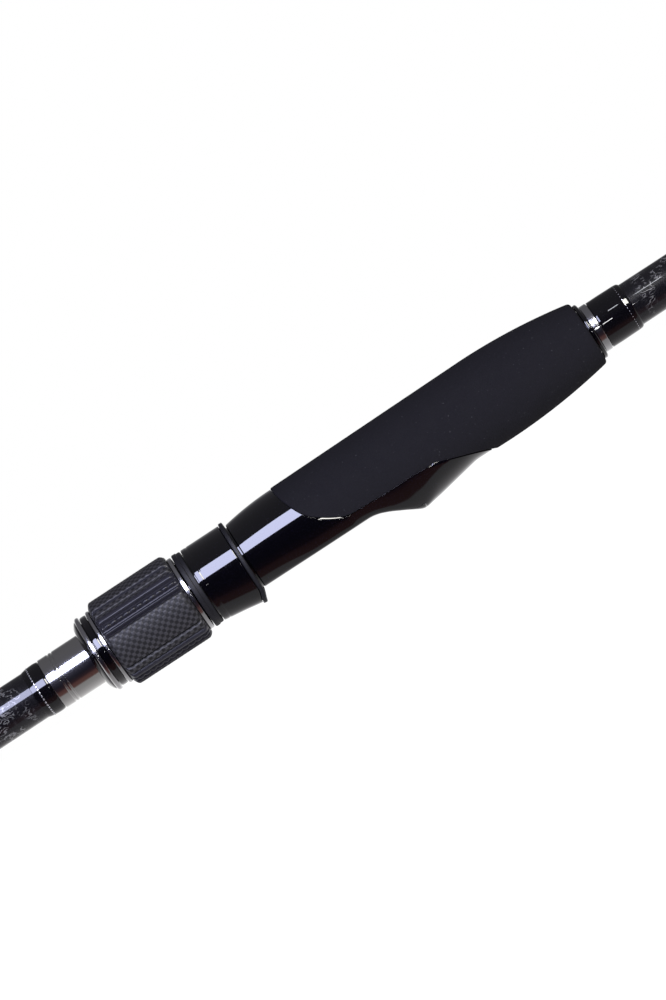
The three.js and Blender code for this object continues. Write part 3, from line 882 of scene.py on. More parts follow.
# The trim's second colour, near black, is painted shade for the pinches between its beads.
TRIM_FINISH = MetalThread(shade(0.75, 0.75, 0.78), shade(0.02, 0.02, 0.022), 0.25, metallic=0.9,
                          coat=0.6)


class Finishes:
    """The materials, made once."""

    def __init__(self) -> None:
        """Makes a material for each slot, and one for the trim threads."""
        effects = Effects()
        self.by_slot = {s: f.material(s.value, effects) for s, f in FINISHES.items()}
        self.trim = TRIM_FINISH.material("trim_thread", effects)


@dataclass
class SubAssembly:
    """A group of pieces that are built and dressed together."""

    finishes: Finishes

    def add(self, node: str, shells: list[Shell], slot: Slot, body: Body,
            material: bpy.types.Material | None = None) -> bpy.types.Object:
        """Makes a piece that stands for a node of the part.

        Args:
            node: The node, whose name the piece also takes.
            shells: The piece's skins.
            slot: Its material slot.
            body: The body it rides on.
            material: A material other than the slot's.

        Returns:
            The piece.
        """
        name = node + "_shape"
        piece = bpy.data.objects.new(name, mesh_of(name, shells))
        bpy.context.scene.collection.objects.link(piece)
        piece.data.materials.append(material or self.finishes.by_slot[slot])
        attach(piece, body.value)
        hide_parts(node)
        LOG.info("%s: %d faces on %s", name, len(piece.data.polygons), body.value)
        return piece


@dataclass
class TrimThread(SubAssembly):
    """A single turn of silver trim thread."""

    BEADS = 46

    def lay(self, node: str, start: float, end: float, inner: float, outer: float,
            body: Body) -> None:
        """Lays the thread round the rod, its radius waving once per bead.

        Args:
            node: The node that it stands for.
            start: First station of the rod.
            end: Last station.
            inner: Radius below it.
            outer: Radius over it.
            body: The body it rides on.
        """
        across = turns(12)[:, None]
        angle = turns(self.BEADS * 6)[None, :]
        half, high = (end - start) / 2, (outer - inner) / 2
        swell = 0.86 + 0.14 * np.sin(angle * self.BEADS)
        x = (start + end) / 2 + half * swell * np.cos(across)
        radius = (outer + inner) / 2 + high * swell * np.sin(across)
        self.add(node, [about_axis(x, radius, angle)], Slot.STEEL, body, self.finishes.trim)


# ---------------------------------------------------------------- butt, blanks


@dataclass
class ButtEnd(SubAssembly):
    """The rod's rear end: rubber cap, foam grip and the trim in front of it."""

    grip_line: tuple = ((17.6, 12.4), (19.0, 12.85), (30.0, 12.85), (45.0, 12.4), (60.0, 11.9),
                        (75.0, 11.5), (98.0, 11.3), (106.0, 11.1), (111.6, 10.2))
    cap_dents: int = 5

    def build(self) -> None:
        """Builds the cap, its ring, the grip, its check and the wrap."""
        cap = [(0.0, 0.0), (0.0, 9.5), (0.35, 9.8), (0.35, 10.6), (0.0, 10.9), (0.0, 11.2),
               (1.3, 12.5)]
        for dent in range(self.cap_dents):
            x = 3.0 + 1.9 * dent
            cap += [(x, 12.6), (x + 0.5, 12.3), (x + 1.0, 12.6)]
        cap += [(13.0, 12.85), (14.0, 12.6), (14.0, 7.9), (4.6, 7.9), (4.6, 0.0)]
        self.add("butt_cap", [turned(cap, fillet=0.4)], Slot.RUBBER, Body.ROD)
        band = [(14.3, 7.8), (14.3, 12.4), (14.7, 12.7), (15.5, 12.7), (15.8, 12.45), (16.1, 12.7),
                (16.9, 12.7), (17.3, 12.4), (17.3, 7.8)]
        self.add("butt_cap_ring", [turned(band, fillet=0.15)], Slot.STEEL, Body.ROD)
        x = np.linspace(17.6, 111.6, 90)
        line = list(zip(x, spline(self.grip_line, x)))
        inner = blank_radius(18) + 0.15
        outline = [(17.6, inner), (17.6, 11.7), *line[1:-1], (111.6, 9.6), (111.6, inner)]
        grip = self.add("rear_grip", [turned(outline, fillet=0.5)], Slot.FOAM, Body.ROD)
        check = [(112.0, 7.5), (112.0, 9.2), (112.8, 9.2), (113.2, 8.8), (115.0, 8.3), (115.4, 7.5)]
        self.add("rear_grip_check", [turned(check, fillet=0.25)], Slot.STEEL, Body.ROD)
        wrap = [(115.7, 7.42), (115.9, 7.7), (117.5, 7.78), (127.5, 7.76), (129.6, 7.6),
                (130.0, 7.4)]
        self.add("rear_grip_wrap", [turned(wrap, fillet=0.6)], Slot.THREAD, Body.ROD)


@dataclass
class Blanks(SubAssembly):
    """The butt section, and the tip section with its ferrule trim."""

    wall: float = 1.3

    def build(self) -> None:
        """Builds both tubes and the ferrule's wrap and ring."""
        stations = np.linspace(5, 945, 48)
        outer = [(x, blank_radius(x)) for x in stations]
        inner = [(x, radius - self.wall) for x, radius in outer[::-1]]
        self.add("butt_blank", [turned(outer + inner, fillet=0.3)], Slot.BLANK, Body.ROD)
        stations = np.linspace(885, 1823, 48)
        outer = [(x, blank_radius(x, TIP_TAPER)) for x in stations]
        bore = [(1823.0, 0.0), (1600.0, 0.0), (1590.0, 0.9), (960.0, 4.2),
                (947.0, blank_radius(945) + 0.25), (885.0, blank_radius(885) + 0.25)]
        self.add("tip_blank", [turned(outer + bore, fillet=0.15)], Slot.BLANK, Body.TIP)
        wrap = [(887.6, 5.7), (887.9, 6.0), (889.5, 6.12), (922.0, 6.1), (926.6, 5.8),
                (927.0, 5.4)]
        self.add("ferrule_wrap", [turned(wrap, fillet=1.0)], Slot.THREAD, Body.TIP)
        trim = [(885.6, 5.72), (885.6, 6.1), (885.9, 6.2), (887.0, 6.2), (887.3, 6.1),
                (887.3, 5.72)]
        self.add("ferrule_trim", [turned(trim, fillet=0.12)], Slot.STEEL, Body.TIP)


# ---------------------------------------------------------------- reel seat


def bellied(top: np.ndarray, drop: np.ndarray, depth: np.ndarray, angle: np.ndarray) -> tuple:
    """Y and Z of a skin that is round above and has slanting cheeks and a flat below.

    Above, a circle. Below, half an ellipse that hangs down as far as the drop, cut off softly at
    the depth: Z is the inverse p-norm of the ellipse's depth and the flat's.

    Args:
        top: Radius above.
        drop: How far the ellipse hangs down.
        depth: Depth of the flat.
        angle: Angle from the top.

    Returns:
        Y and Z.
    """
    softness = 26.0
    low = drop * np.maximum(-np.cos(angle), 1e-6)
    flat = (low**-softness + depth**-softness) ** (-1 / softness)
    return top * np.sin(angle), np.where(np.cos(angle) < 0, -flat, top * np.cos(angle))


@dataclass
class FoamEdge:
    """The edge where the foregrip's foam meets the seat, as seen from the side.

    A blunt tongue lies on top, a long edge runs just below the middle, and a sweep goes down to
    the underside.
    """

    line: tuple = ((-8.25, 13.2), (-8.1, 11.6), (-7.5, 8.4), (-6.4, 5.1), (-3.0, -0.7),
                   (-1.3, -2.1), (1.4, -4.05), (4.1, -5.5), (5.3, -5.8), (9.3, -6.0),
                   (16.6, -6.3), (31.8, -6.9), (40.2, -9.4),
                   (48.3, -12.4), (51.5, -13.8), (54.0, -15.0))
    half_around: int = 150
    samples: int = 2400
    steps: int = 720

    @staticmethod
    def bevel(x: np.ndarray) -> np.ndarray:
        """How much the seat's edge is set back and rounder than elsewhere, from nought to one."""
        first = eased(-2.0, -1.3, x) * (1 - eased(3.7, 4.2, x))
        return first + eased(31.0, 32.0, x) * (1 - eased(35.8, 37.0, x))

    def trace(self, skin: object, shift: float,
              setback: float = 0.0) -> tuple[np.ndarray, np.ndarray]:
        """The edge's station and angle on a skin, evenly spaced along its length.

        The side view's line is a smooth curve by its own length. On the skin, each point's angle
        is where the skin's Z is the line's.

        Args:
            skin: A function of station and angle that gives Y and Z.
            shift: How far to move the line forwards and up.
            setback: How far to move it back and down where it is bevelled.

        Returns:
            Stations, and angles from nought to half a turn.
        """
        knots = np.array(self.line)
        run = np.concatenate([[0], np.cumsum(np.hypot(*np.diff(knots, axis=0).T))])
        at = np.linspace(0, run[-1], self.samples)
        x = spline(np.stack([run, knots[:, 0]], 1), at)
        shift = shift - setback * self.bevel(x)
        x = x + shift
        z = spline(np.stack([run, knots[:, 1]], 1), at) + shift
        angle = np.linspace(0, np.pi, self.steps + 1)[None, :]
        _, skin_z = skin(x[:, None], angle)
        on = (z <= skin_z[:, 0]) & (z >= skin_z[:, -1])
        place = np.clip((skin_z > z[:, None]).sum(1) - 1, 0, self.steps - 1)
        rows = np.arange(len(x))
        high, low = skin_z[rows, place], skin_z[rows, place + 1]
        share = np.clip((high - z) / np.maximum(high - low, 1e-9), 0, 1)
        found = (place + share) * (np.pi / self.steps)
        x, found = x[on], found[on]
        found[0], found[-1] = 0.0, np.pi
        y, depth = skin(x, found)
        steps = np.sqrt(np.diff(x) ** 2 + np.diff(y) ** 2 + np.diff(depth) ** 2)
        length = np.concatenate([[0], np.cumsum(steps)])
        even = np.linspace(0, length[-1], self.half_around + 1)
        return np.interp(even, length, x), np.interp(even, length, found)

    @staticmethod
    def gathered(x: np.ndarray, angle: np.ndarray) -> np.ndarray:
        """Angles of the columns behind the edge, turned down below its front part."""
        lower = eased(4.0, 32.0, x) * (1 - eased(math.radians(126), np.pi, angle))
        return angle + math.radians(30) * lower

    @staticmethod
    def fanned(x: np.ndarray, angle: np.ndarray) -> np.ndarray:
        """Angles of the columns in front of the edge, turned up over its rear part."""
        upper = (1 - eased(4.0, 32.0, x)) * np.minimum(1, angle / math.radians(118))
        return angle - math.radians(35) * upper

    @staticmethod
    def mirrored(half: np.ndarray, odd: bool) -> np.ndarray:
        """Values for the whole turn from those of one side.

        Args:
            half: Values from the top to the bottom.
            odd: The value is an angle, which goes on round instead of back.

        Returns:
            Values for all columns.
        """
        other = half[-2:0:-1]
        return np.concatenate([half, 2 * np.pi - other if odd else other])


@dataclass
class ReelSeat(SubAssembly):
    """The seat's body, the sleeve behind it, and the wrap and trim behind that."""

    shoulder: float = -23.5
    barrel: float = 9.6
    barrel_start: float = -38.0
    thread_start: float = -63.7
    crest: float = 9.15
    root: float = 8.5
    pitch: float = 2.0
    bore: float = 7.75
    core: float = 8.9
    front: float = 52.0
    edge_round: float = 0.03
    edge_setback: float = 0.38
    bevel_round: float = 1.4
    wall_depth: float = 1.3
    bed: float = 9.5
    pocket_start: float = 11.2
    pocket_end: float = 32.0
    pocket_columns: int = 96
    depth_line: tuple = ((10.8, 9.5), (13.0, 9.95), (16.0, 11.2), (20.0, 13.35), (23.4, 15.35),
                         (24.6, 15.75), (26.2, 15.45), (43.0, 12.25), (52.0, 12.25))
    drop_line: tuple = ((-24.0, 11.6), (-16.0, 12.4), (-6.0, 13.8), (4.0, 14.2), (12.0, 15.2),
                        (18.0, 16.8), (22.0, 17.2), (26.0, 16.6), (31.0, 15.6), (38.0, 14.3),
                        (46.0, 13.2), (53.0, 12.9))
    edge: FoamEdge = field(default_factory=FoamEdge)

    def depth(self, x: np.ndarray) -> np.ndarray:
        """Depth of the underside: the bed, the ramp, the front hood's peak and its run-out.

        The broken line is averaged over a short length, which eases its corners.
        """
        places, depths = np.array(self.depth_line).T
        near = np.linspace(-0.9, 0.9, 7)
        return np.mean([np.interp(x + step, places, depths) for step in near], axis=0)

    def skin(self, x: np.ndarray, angle: np.ndarray) -> tuple[np.ndarray, np.ndarray]:
        """Y and Z of the body.

        The back swells from the shoulder by a square law. The cheeks stand proud where the
        foam's edge slants, and are drawn in below its level part. In front of the peak the flat
        below gives way to half an ellipse.
        """
        share = np.clip((-8.1 - x) / 15.4, 0, None)
        proud = 0.3 * eased(-6.5, -3.0, x) * (1 - eased(4.0, 8.0, x)) + 0.55 * eased(27, 33, x)
        top = 11.7 - 1.45 * share**2 + proud
        depth = self.depth(x)
        y, z = bellied(top, spline(self.drop_line, x), depth, angle)
        hollow = 0.24 * eased(5.0, 9.0, x) * (1 - eased(24.0, 31.0, x))
        low = np.maximum(-np.cos(angle), 0)
        y = y * (1 - hollow * low**2)
        return y, z + eased(25.0, 31.0, x) * (np.where(low > 0, -depth * low, z) - z)

    def body(self) -> Shell:
        """The seat as one closed skin.

        Rows go from the bore, along the barrel, up the shoulder, over the skin to the foam's edge,
        round the edge, down to the core, along it to the front, and back through the bore. Each
        column runs from an angle at the shoulder to its point on the edge, in a straight line of
        station and angle. Below the long edge the columns start lower than they end, so that none
        cross.

        Returns:
            The skin.
        """
        edge_x, edge_angle = self.edge.trace(self.skin, 0.0, self.edge_setback)
        start = self.edge.gathered(edge_x, edge_angle)
        end = self.edge.fanned(edge_x, edge_angle)
        edge_x = self.edge.mirrored(edge_x, False)
        edge_angle, start, end = (self.edge.mirrored(a, True) for a in (edge_angle, start, end))
        rows = [self.barrel_rows(start), self.skin_rows(edge_x, edge_angle, start),
                self.edge_rows(edge_x, edge_angle, end)]
        points = np.concatenate([r[0] for r in rows])
        angles = np.concatenate([r[1] for r in rows])
        points[..., 0] += FOOT_CENTRE
        return Shell(points * MM, points[..., 0], angles / (2 * np.pi))

    def barrel_rows(self, angle: np.ndarray) -> tuple[np.ndarray, np.ndarray]:
        """The thread, a helical ridge, and the plain barrel with a flat below.

        The ridge's height is a clipped triangle of the station in pitches plus the turn.

        Args:
            angle: The columns' angles.

        Returns:
            Points and angles.
        """
        x = np.concatenate([
            [self.thread_start, self.thread_start],
            np.arange(self.thread_start + 0.3, self.barrel_start - 0.8, 0.25),
            np.linspace(self.barrel_start - 0.6, self.shoulder - 0.05, 12),
        ])[:, None]
        phase = (x / self.pitch + angle[None, :] / (2 * np.pi)) % 1.0
        ridge = np.clip(1.35 - 4.4 * np.abs(phase - 0.5), 0, 1)
        fade = eased(self.thread_start, self.thread_start + 1.5, x) * (
            1 - eased(self.barrel_start - 2.0, self.barrel_start - 1.2, x))
        radius = self.root + (self.crest - self.root) * ridge * fade
        plain = eased(self.barrel_start - 1.0, self.barrel_start - 0.6, x)
        radius = radius + (self.barrel - radius) * plain
        radius[0] = self.bore
        angle = np.broadcast_to(angle, radius.shape)
        y, z = radius * np.sin(angle), radius * np.cos(angle)
        z = np.where(plain > 0.5, np.maximum(z, -9.2), z)
        return np.stack([np.broadcast_to(x, y.shape), y, z], -1), angle

    def skin_rows(self, edge_x: np.ndarray, edge_angle: np.ndarray,
                  start: np.ndarray) -> tuple[np.ndarray, np.ndarray]:
        """The shoulder with its eased corner, and the skin up to the foam's edge.

        Args:
            edge_x: Stations of the edge.
            edge_angle: Its angles.
            start: Angles of the columns at the shoulder.

        Returns:
            Points and angles.
        """
        turn = np.linspace(0, np.pi / 2, 6)
        ease = 0.35
        inset = np.concatenate([[0.95], ease * (1 - np.sin(turn))])[:, None]
        forward = np.concatenate([[0.0], ease * (1 - np.cos(turn))])[:, None]
        y, z = self.skin(self.shoulder + forward, start[None, :])
        span = np.hypot(y, z)
        keep = np.maximum(1 - inset / span, 0)
        corner = np.stack([self.shoulder + forward + 0 * y, y * keep, z * keep], -1)
        share = np.linspace(0, 1, 150)[1:, None]
        x = (self.shoulder + ease) * (1 - share) + edge_x[None, :] * share
        angle = start[None, :] * (1 - share) + edge_angle[None, :] * share
        y, z = self.skin(x, angle)
        corner_angle = np.broadcast_to(start, corner.shape[:2])
        return (np.concatenate([corner, np.stack([x, y, z], -1)]),
                np.concatenate([corner_angle, angle]))

    def edge_frame(self, skin: object, x: np.ndarray, angle: np.ndarray) -> tuple:
        """The edge's points, the skin's outward direction there, and the direction across it.

        Args:
            skin: The skin that the edge lies on.
            x: Stations of the edge.
            angle: Angles of the edge.

        Returns:
            Points, outward directions and directions across, towards the tip.
        """
        def at(station: np.ndarray, turn: np.ndarray) -> np.ndarray:
            y, z = skin(station, turn)
            return np.stack([station, y, z], -1)

        small = 0.02
        along = at(x + small, angle) - at(x - small, angle)
        round_ = at(x, angle + small) - at(x, angle - small)
        normal = np.cross(along, round_)
        normal /= np.linalg.norm(normal, axis=1)[:, None]
        points = at(x, angle)
        outward = np.sign(np.sum(normal * points * [0, 1, 1], axis=1))[:, None]
        normal *= outward
        tangent = np.roll(points, -1, 0) - np.roll(points, 1, 0)
        across = np.cross(normal, tangent)
        across /= np.linalg.norm(across, axis=1)[:, None]
        across *= np.sign(across[:1, :1])
        return points, normal, across

    def edge_rows(self, edge_x: np.ndarray, edge_angle: np.ndarray,
                  end: np.ndarray) -> tuple[np.ndarray, np.ndarray]:
        """The rounded edge, the wall behind it, the core under the foam, and the bore's front.

        Args:
            edge_x: Stations of the edge.
            edge_angle: Its angles.
            end: Angles of the columns at the core's front end.

        Returns:
            Points and angles.
        """
        points, normal, across = self.edge_frame(self.skin, edge_x, edge_angle)
        turn = np.linspace(0, np.pi / 2, 13)[1:, None, None]
        fillet = (self.edge_round + self.bevel_round * self.edge.bevel(edge_x))[:, None]
        curve = points + fillet * (np.sin(turn) * across - (1 - np.cos(turn)) * normal)
        wall = curve[-1:] - self.wall_depth * normal
        base_x = wall[0, :, 0]
        share = np.linspace(0, 1, 24)[:, None]
        x = base_x * (1 - share) + self.front * share
        angle = edge_angle * (1 - share) + end * share
        radius = np.full(x.shape, self.core)
        x = np.concatenate([x, x[-1:]])
        angle = np.concatenate([angle, angle[-1:]])
        radius = np.concatenate([radius, np.full((1, radius.shape[1]), self.bore)])
        core = np.stack([x, radius * np.sin(angle), radius * np.cos(angle)], -1)
        before = np.broadcast_to(edge_angle, (len(curve) + 1, len(edge_angle)))
        return np.concatenate([curve, wall, core]), np.concatenate([before, angle])

    def pocket(self) -> bpy.types.Object:
        """A cutter for the front hood's pocket: the skin drawn in, below the bed, and its mouth.

        Rows are stations and columns go round a section with a flat roof and rounded cheeks. The
        rear end is closed to a point. The front end is open, so the cut leaves the seat's mesh
        with open and shared edges in the pocket.

        Returns:
            The cutter, which is removed after use.
        """
        x = np.linspace(self.pocket_start, self.pocket_end, 40)[:, None]
        angle = turns(self.pocket_columns)[None, :]
        blend = eased(23.6, 25.4, x)
        deep = 19.0 * (1 - blend) + np.maximum(self.depth(x) - 1.3, 9.8) * blend
        half = 6.6 - 1.4 * eased(17.5, 23.5, x) - 0.4 * eased(25.0, self.pocket_end, x)
        corner = 0.55
        wide, high = np.sin(angle), np.cos(angle)
        y = half * np.sign(wide) * np.abs(wide) ** corner
        roof, middle = -self.bed, -(self.bed + deep) / 2
        z = middle + (roof - middle) * np.sign(high) * np.abs(high) ** corner
        closed = eased(self.pocket_start, self.pocket_start + 0.7, x) * (
            1 - eased(self.pocket_end - 0.8, self.pocket_end, x))
        y, z = y * (0.7 + 0.3 * closed), middle + (z - middle) * (0.75 + 0.25 * closed)
        skin = np.stack([np.broadcast_to(x, y.shape), y, z], -1)
        first = np.stack([x[:1], 0 * x[:1], middle[:1]], -1)
        points = np.concatenate([np.repeat(first, self.pocket_columns, axis=1), skin])
        points[..., 0] += FOOT_CENTRE
        turn = np.broadcast_to(angle / (2 * np.pi), points.shape[:2])
        shell = Shell(points * MM, points[..., 0], turn, wrap_rows=False)
        return bpy.data.objects.new("pocket_cutter", mesh_of("pocket_cutter", [shell]))

    def cut_pocket(self, seat: bpy.types.Object) -> None:
        """Takes the pocket out of the seat's body, and makes the result its mesh."""
        cutter = self.pocket()
        bpy.context.scene.collection.objects.link(cutter)
        cut = seat.modifiers.new("pocket", "BOOLEAN")
        cut.operation, cut.solver, cut.object = "DIFFERENCE", "EXACT", cutter
        bpy.context.view_layer.update()
        depsgraph = bpy.context.evaluated_depsgraph_get()
        result = bpy.data.meshes.new_from_object(seat.evaluated_get(depsgraph))
        seat.modifiers.clear()
        spare, seat.data = seat.data, result
        name = spare.name
        bpy.data.meshes.remove(spare)
        result.name = name
        result.shade_smooth()
        result.set_sharp_from_angle(angle=SMOOTH_ANGLE)
        bpy.data.objects.remove(cutter)

    def build(self) -> None:
        """Builds the body, then the sleeve with its engraved lines, the wrap and the trim."""
        seat = self.add("seat_body", [self.body()], Slot.GLOSS, Body.ROD)
        self.cut_pocket(seat)
        inner = blank_radius(224) + 0.15
        sleeve = [(-86.1, inner), (-86.1, 7.42), (-86.0, 7.5)]
        for line in (-82.9, -81.8):
            sleeve += [(line - 0.3, 7.5), (line, 7.24), (line + 0.3, 7.5)]
        sleeve += [(-65.0, 7.5), (-65.0, inner)]
        self.add("rear_sleeve", [turned(sleeve, FOOT_CENTRE, 0.09, 160)], Slot.GUNMETAL, Body.ROD)
        wrap = [(-91.7, 6.98), (-91.1, 7.14), (-90.1, 7.33), (-88.8, 7.46), (-87.5, 7.48),
                (-86.7, 7.38), (-86.3, 7.22), (-86.3, 6.95)]
        self.add("rear_sleeve_wrap", [turned(wrap, FOOT_CENTRE, 0.9, 160)], Slot.THREAD, Body.ROD)
        TrimThread(self.finishes).lay("rear_sleeve_trim", FOOT_CENTRE - 90.0, FOOT_CENTRE - 89.55,
                                      7.2, 7.46, Body.ROD)


# ---------------------------------------------------------------- moving hood and nut


@dataclass
class ScrewHood(SubAssembly):
    """The moving hood: its shell, the cushion in its mouth and the collar behind it."""

    start: float = -37.5
    shell_end: float = -25.3
    liner_start: float = -31.0
    lip_start: float = -25.15
    end: float = -23.95
    bore: float = 9.9
    top: float = 11.2
    groove: float = -35.8

    def depth(self, x: np.ndarray) -> np.ndarray:
        """Depth of the underside, which flares towards the lip."""
        return 11.3 + (12.85 - 11.3) * (x - self.start) / (self.shell_end - self.start)

    def layer(self, corners: list[tuple[float, float, float]], fillet: float) -> Shell:
        """A closed skin of stations and insets from the hood's outline.

        A corner's third number is how much of it is the round bore in place of the outline. Below
        the middle, stations near the mouth lean back with depth.

        Args:
            corners: Station, inset and bore share, in order round the wall's section.
            fillet: How far the corners are eased.

        Returns:
            The skin.
        """
        at = np.array(corners)
        path = rounded(at[:, :2], fillet)
        share = np.repeat(at[:, 2], len(path) // len(at))[:, None]
        x, inset = path[:, :1], path[:, 1:]
        angle = turns(192)[None, :]
        depth = self.depth(x)
        drop = 1.12 * depth - 0.6
        y, z = bellied(self.top - inset, drop - inset, depth - inset, angle)
        y = y * (1 - share) + self.bore * np.sin(angle) * share
        z = z * (1 - share) + self.bore * np.cos(angle) * share
        lean = 1.1 * eased(-9.0, -13.6, z) * eased(-32.0, -26.0, x)
        x = x + 0 * y
        points = np.stack([x - lean + FOOT_CENTRE, y, z], -1) * MM
        return Shell(points, x + FOOT_CENTRE, np.broadcast_to(angle / (2 * np.pi), x.shape))

    def build(self) -> None:
        """Builds the shell, the cushion and the collar."""
        shell = [(self.start, 0.9, 1.0), (self.start, 0.0, 0.0)]
        shell += [(self.groove - 0.35, 0.0, 0.0), (self.groove - 0.12, 0.1, 0.0),
                  (self.groove + 0.12, 0.1, 0.0), (self.groove + 0.35, 0.0, 0.0)]
        shell += [(x, 0.0, 0.0) for x in np.linspace(self.groove + 1.2, self.shell_end - 0.6, 12)]
        shell += [(self.shell_end, 0.0, 0.0), (self.shell_end, 0.6, 0.0),
                  (self.liner_start - 0.3, 0.6, 0.0), (self.liner_start - 0.35, 0.9, 1.0)]
        self.add("hood_shell", [self.layer(shell, 0.3)], Slot.GLOSS, Body.HOOD)
        liner = [(self.liner_start, 1.1, 1.0), (self.liner_start, 0.75, 0.0),
                 (self.lip_start, 0.75, 0.0), (self.lip_start, -0.35, 0.0),
                 (self.end, -0.35, 0.0), (self.end, 1.25, 0.0),
                 (self.liner_start + 1.0, 1.25, 0.0), (self.liner_start + 1.0, 1.25, 1.0)]
        self.add("hood_liner", [self.layer(liner, 0.4)], Slot.RUBBER, Body.HOOD)
        collar = [(-40.4, self.bore), (-40.4, 11.15), (-40.2, 11.35), (-39.15, 11.35),
                  (-38.98, 11.12), (-38.05, 11.12), (-37.8, 10.9), (-37.8, self.bore)]
        self.add("hood_collar", [turned(collar, FOOT_CENTRE, 0.12, 160)], Slot.RUBBER, Body.HOOD)


@dataclass
class LockNut(SubAssembly):
    """The nut that drives the hood: a woven, ribbed sleeve on a core, with rings at both ends.

    The sleeve repeats every quarter turn: a wide panel, then grooves with ribs and strips between.
    """

    CELL = 1.02
    CELLS_ROUND = 80
    SHARE_OFFSET = 3.6
    CLOTH = ((0.03, 0.16), (0.485, 1.0))
    BEADS = (0.302, 0.385)

    start: float = -67.0
    end: float = -42.15
    radius: float = 12.95
    grooves: tuple = (0.022, 0.167, 0.289, 0.397, 0.478)
    groove_width: float = 0.021
    groove_depth: float = 0.95
    bead_pitch: float = 2.05

    @staticmethod
    def quarter_share(angle: np.ndarray) -> np.ndarray:
        """How far through a quarter turn's pattern an angle is.

        It is the fraction of 3.6 less four times the turn, which puts the wide panel's middle a
        little below the camera's side.
        """
        return (LockNut.SHARE_OFFSET - 4 * angle / (2 * np.pi)) % 1.0

    def sleeve(self) -> Shell:
        """The ribbed sleeve.

        The radius is the full radius, less a narrow bell at each groove, less a step under the
        bead strip with beads on it, plus a square-topped product of sines on the cloth. Both ends
        are drawn in by slants, by the softer of the two radii.

        Returns:
            The skin.
        """
        x = np.linspace(self.start, self.end, 150)[:, None]
        angle = turns(560)[None, :]
        share = self.quarter_share(angle)
        radius = np.full((x.shape[0], angle.shape[1]), self.radius)
        for groove in self.grooves:
            off = np.abs((share - groove + 0.5) % 1.0 - 0.5)
            radius = radius - self.groove_depth * np.exp(-((off / self.groove_width) ** 2))
        low, high = self.BEADS
        strip = eased(low - 0.01, low + 0.01, share) * (1 - eased(high - 0.01, high + 0.01, share))
        across = np.sin(np.pi * np.clip((share - low) / (high - low), 0, 1))
        bead = np.abs(np.sin(np.pi * x / self.bead_pitch)) ** 0.6
        radius = radius - strip * (0.5 - 0.5 * bead * across)
        cloth = 0.0
        for low, high in self.CLOTH:
            cloth = cloth + eased(low - 0.01, low + 0.01, share) * (
                1 - eased(high - 0.01, high + 0.01, share))
        product = np.sin(np.pi * x / self.CELL) * np.sin(angle / 2 * self.CELLS_ROUND)
        radius = radius + cloth * (0.035 * np.tanh(2.5 * product) - 0.04)
        limit = np.minimum(11.35 + 1.9 * (x - self.start) ** 0.9, 11.9 + 1.25 * (self.end - x))
        softness = 40.0
        radius = (radius**-softness + limit**-softness) ** (-1 / softness)
        station = np.concatenate([x[:1], x, x[-1:]])
        inner = np.full((1, radius.shape[1]), 10.6)
        radius = np.concatenate([inner, radius, inner])
        return about_axis(station + FOOT_CENTRE, radius, angle)

    def build(self) -> None:
        """Builds the sleeve, the tail and the rings."""
        self.add("nut_sleeve", [self.sleeve()], Slot.WEAVE, Body.NUT)
        tail = [(-73.4, 7.85), (-73.4, 8.6), (-73.15, 9.3), (-72.5, 10.3), (-72.0, 10.8),
                (-72.0, 9.15), (-65.0, 9.15), (-65.0, 7.85)]
        self.add("nut_tail", [turned(tail, FOOT_CENTRE, 0.2, 160)], Slot.GLOSS, Body.NUT)
        rim = [(-71.9, 9.3), (-71.9, 10.85), (-71.55, 11.3), (-71.2, 11.4), (-70.75, 11.35),
               (-70.5, 11.15), (-70.5, 9.3)]
        self.add("nut_tail_edge", [turned(rim, FOOT_CENTRE, 0.22, 160)], Slot.STEEL, Body.NUT)
        band = [(-70.35, 9.3), (-70.35, 10.7), (-69.9, 10.85), (-68.9, 10.85), (-68.45, 10.7),
                (-68.45, 9.3)]
        self.add("nut_tail_band", [turned(band, FOOT_CENTRE, 0.3, 160)], Slot.GLOSS, Body.NUT)
        rear = ring(-68.3, -67.15, 9.3, 11.3)
        self.add("nut_rear_ring", [turned(rear, FOOT_CENTRE, 0.56, 160)], Slot.STEEL, Body.NUT)
        front = ring(-42.0, -40.75, 10.45, 11.15)
        self.add("nut_front_ring", [turned(front, FOOT_CENTRE, 0.6, 160)], Slot.STEEL, Body.NUT)


# ---------------------------------------------------------------- foregrip


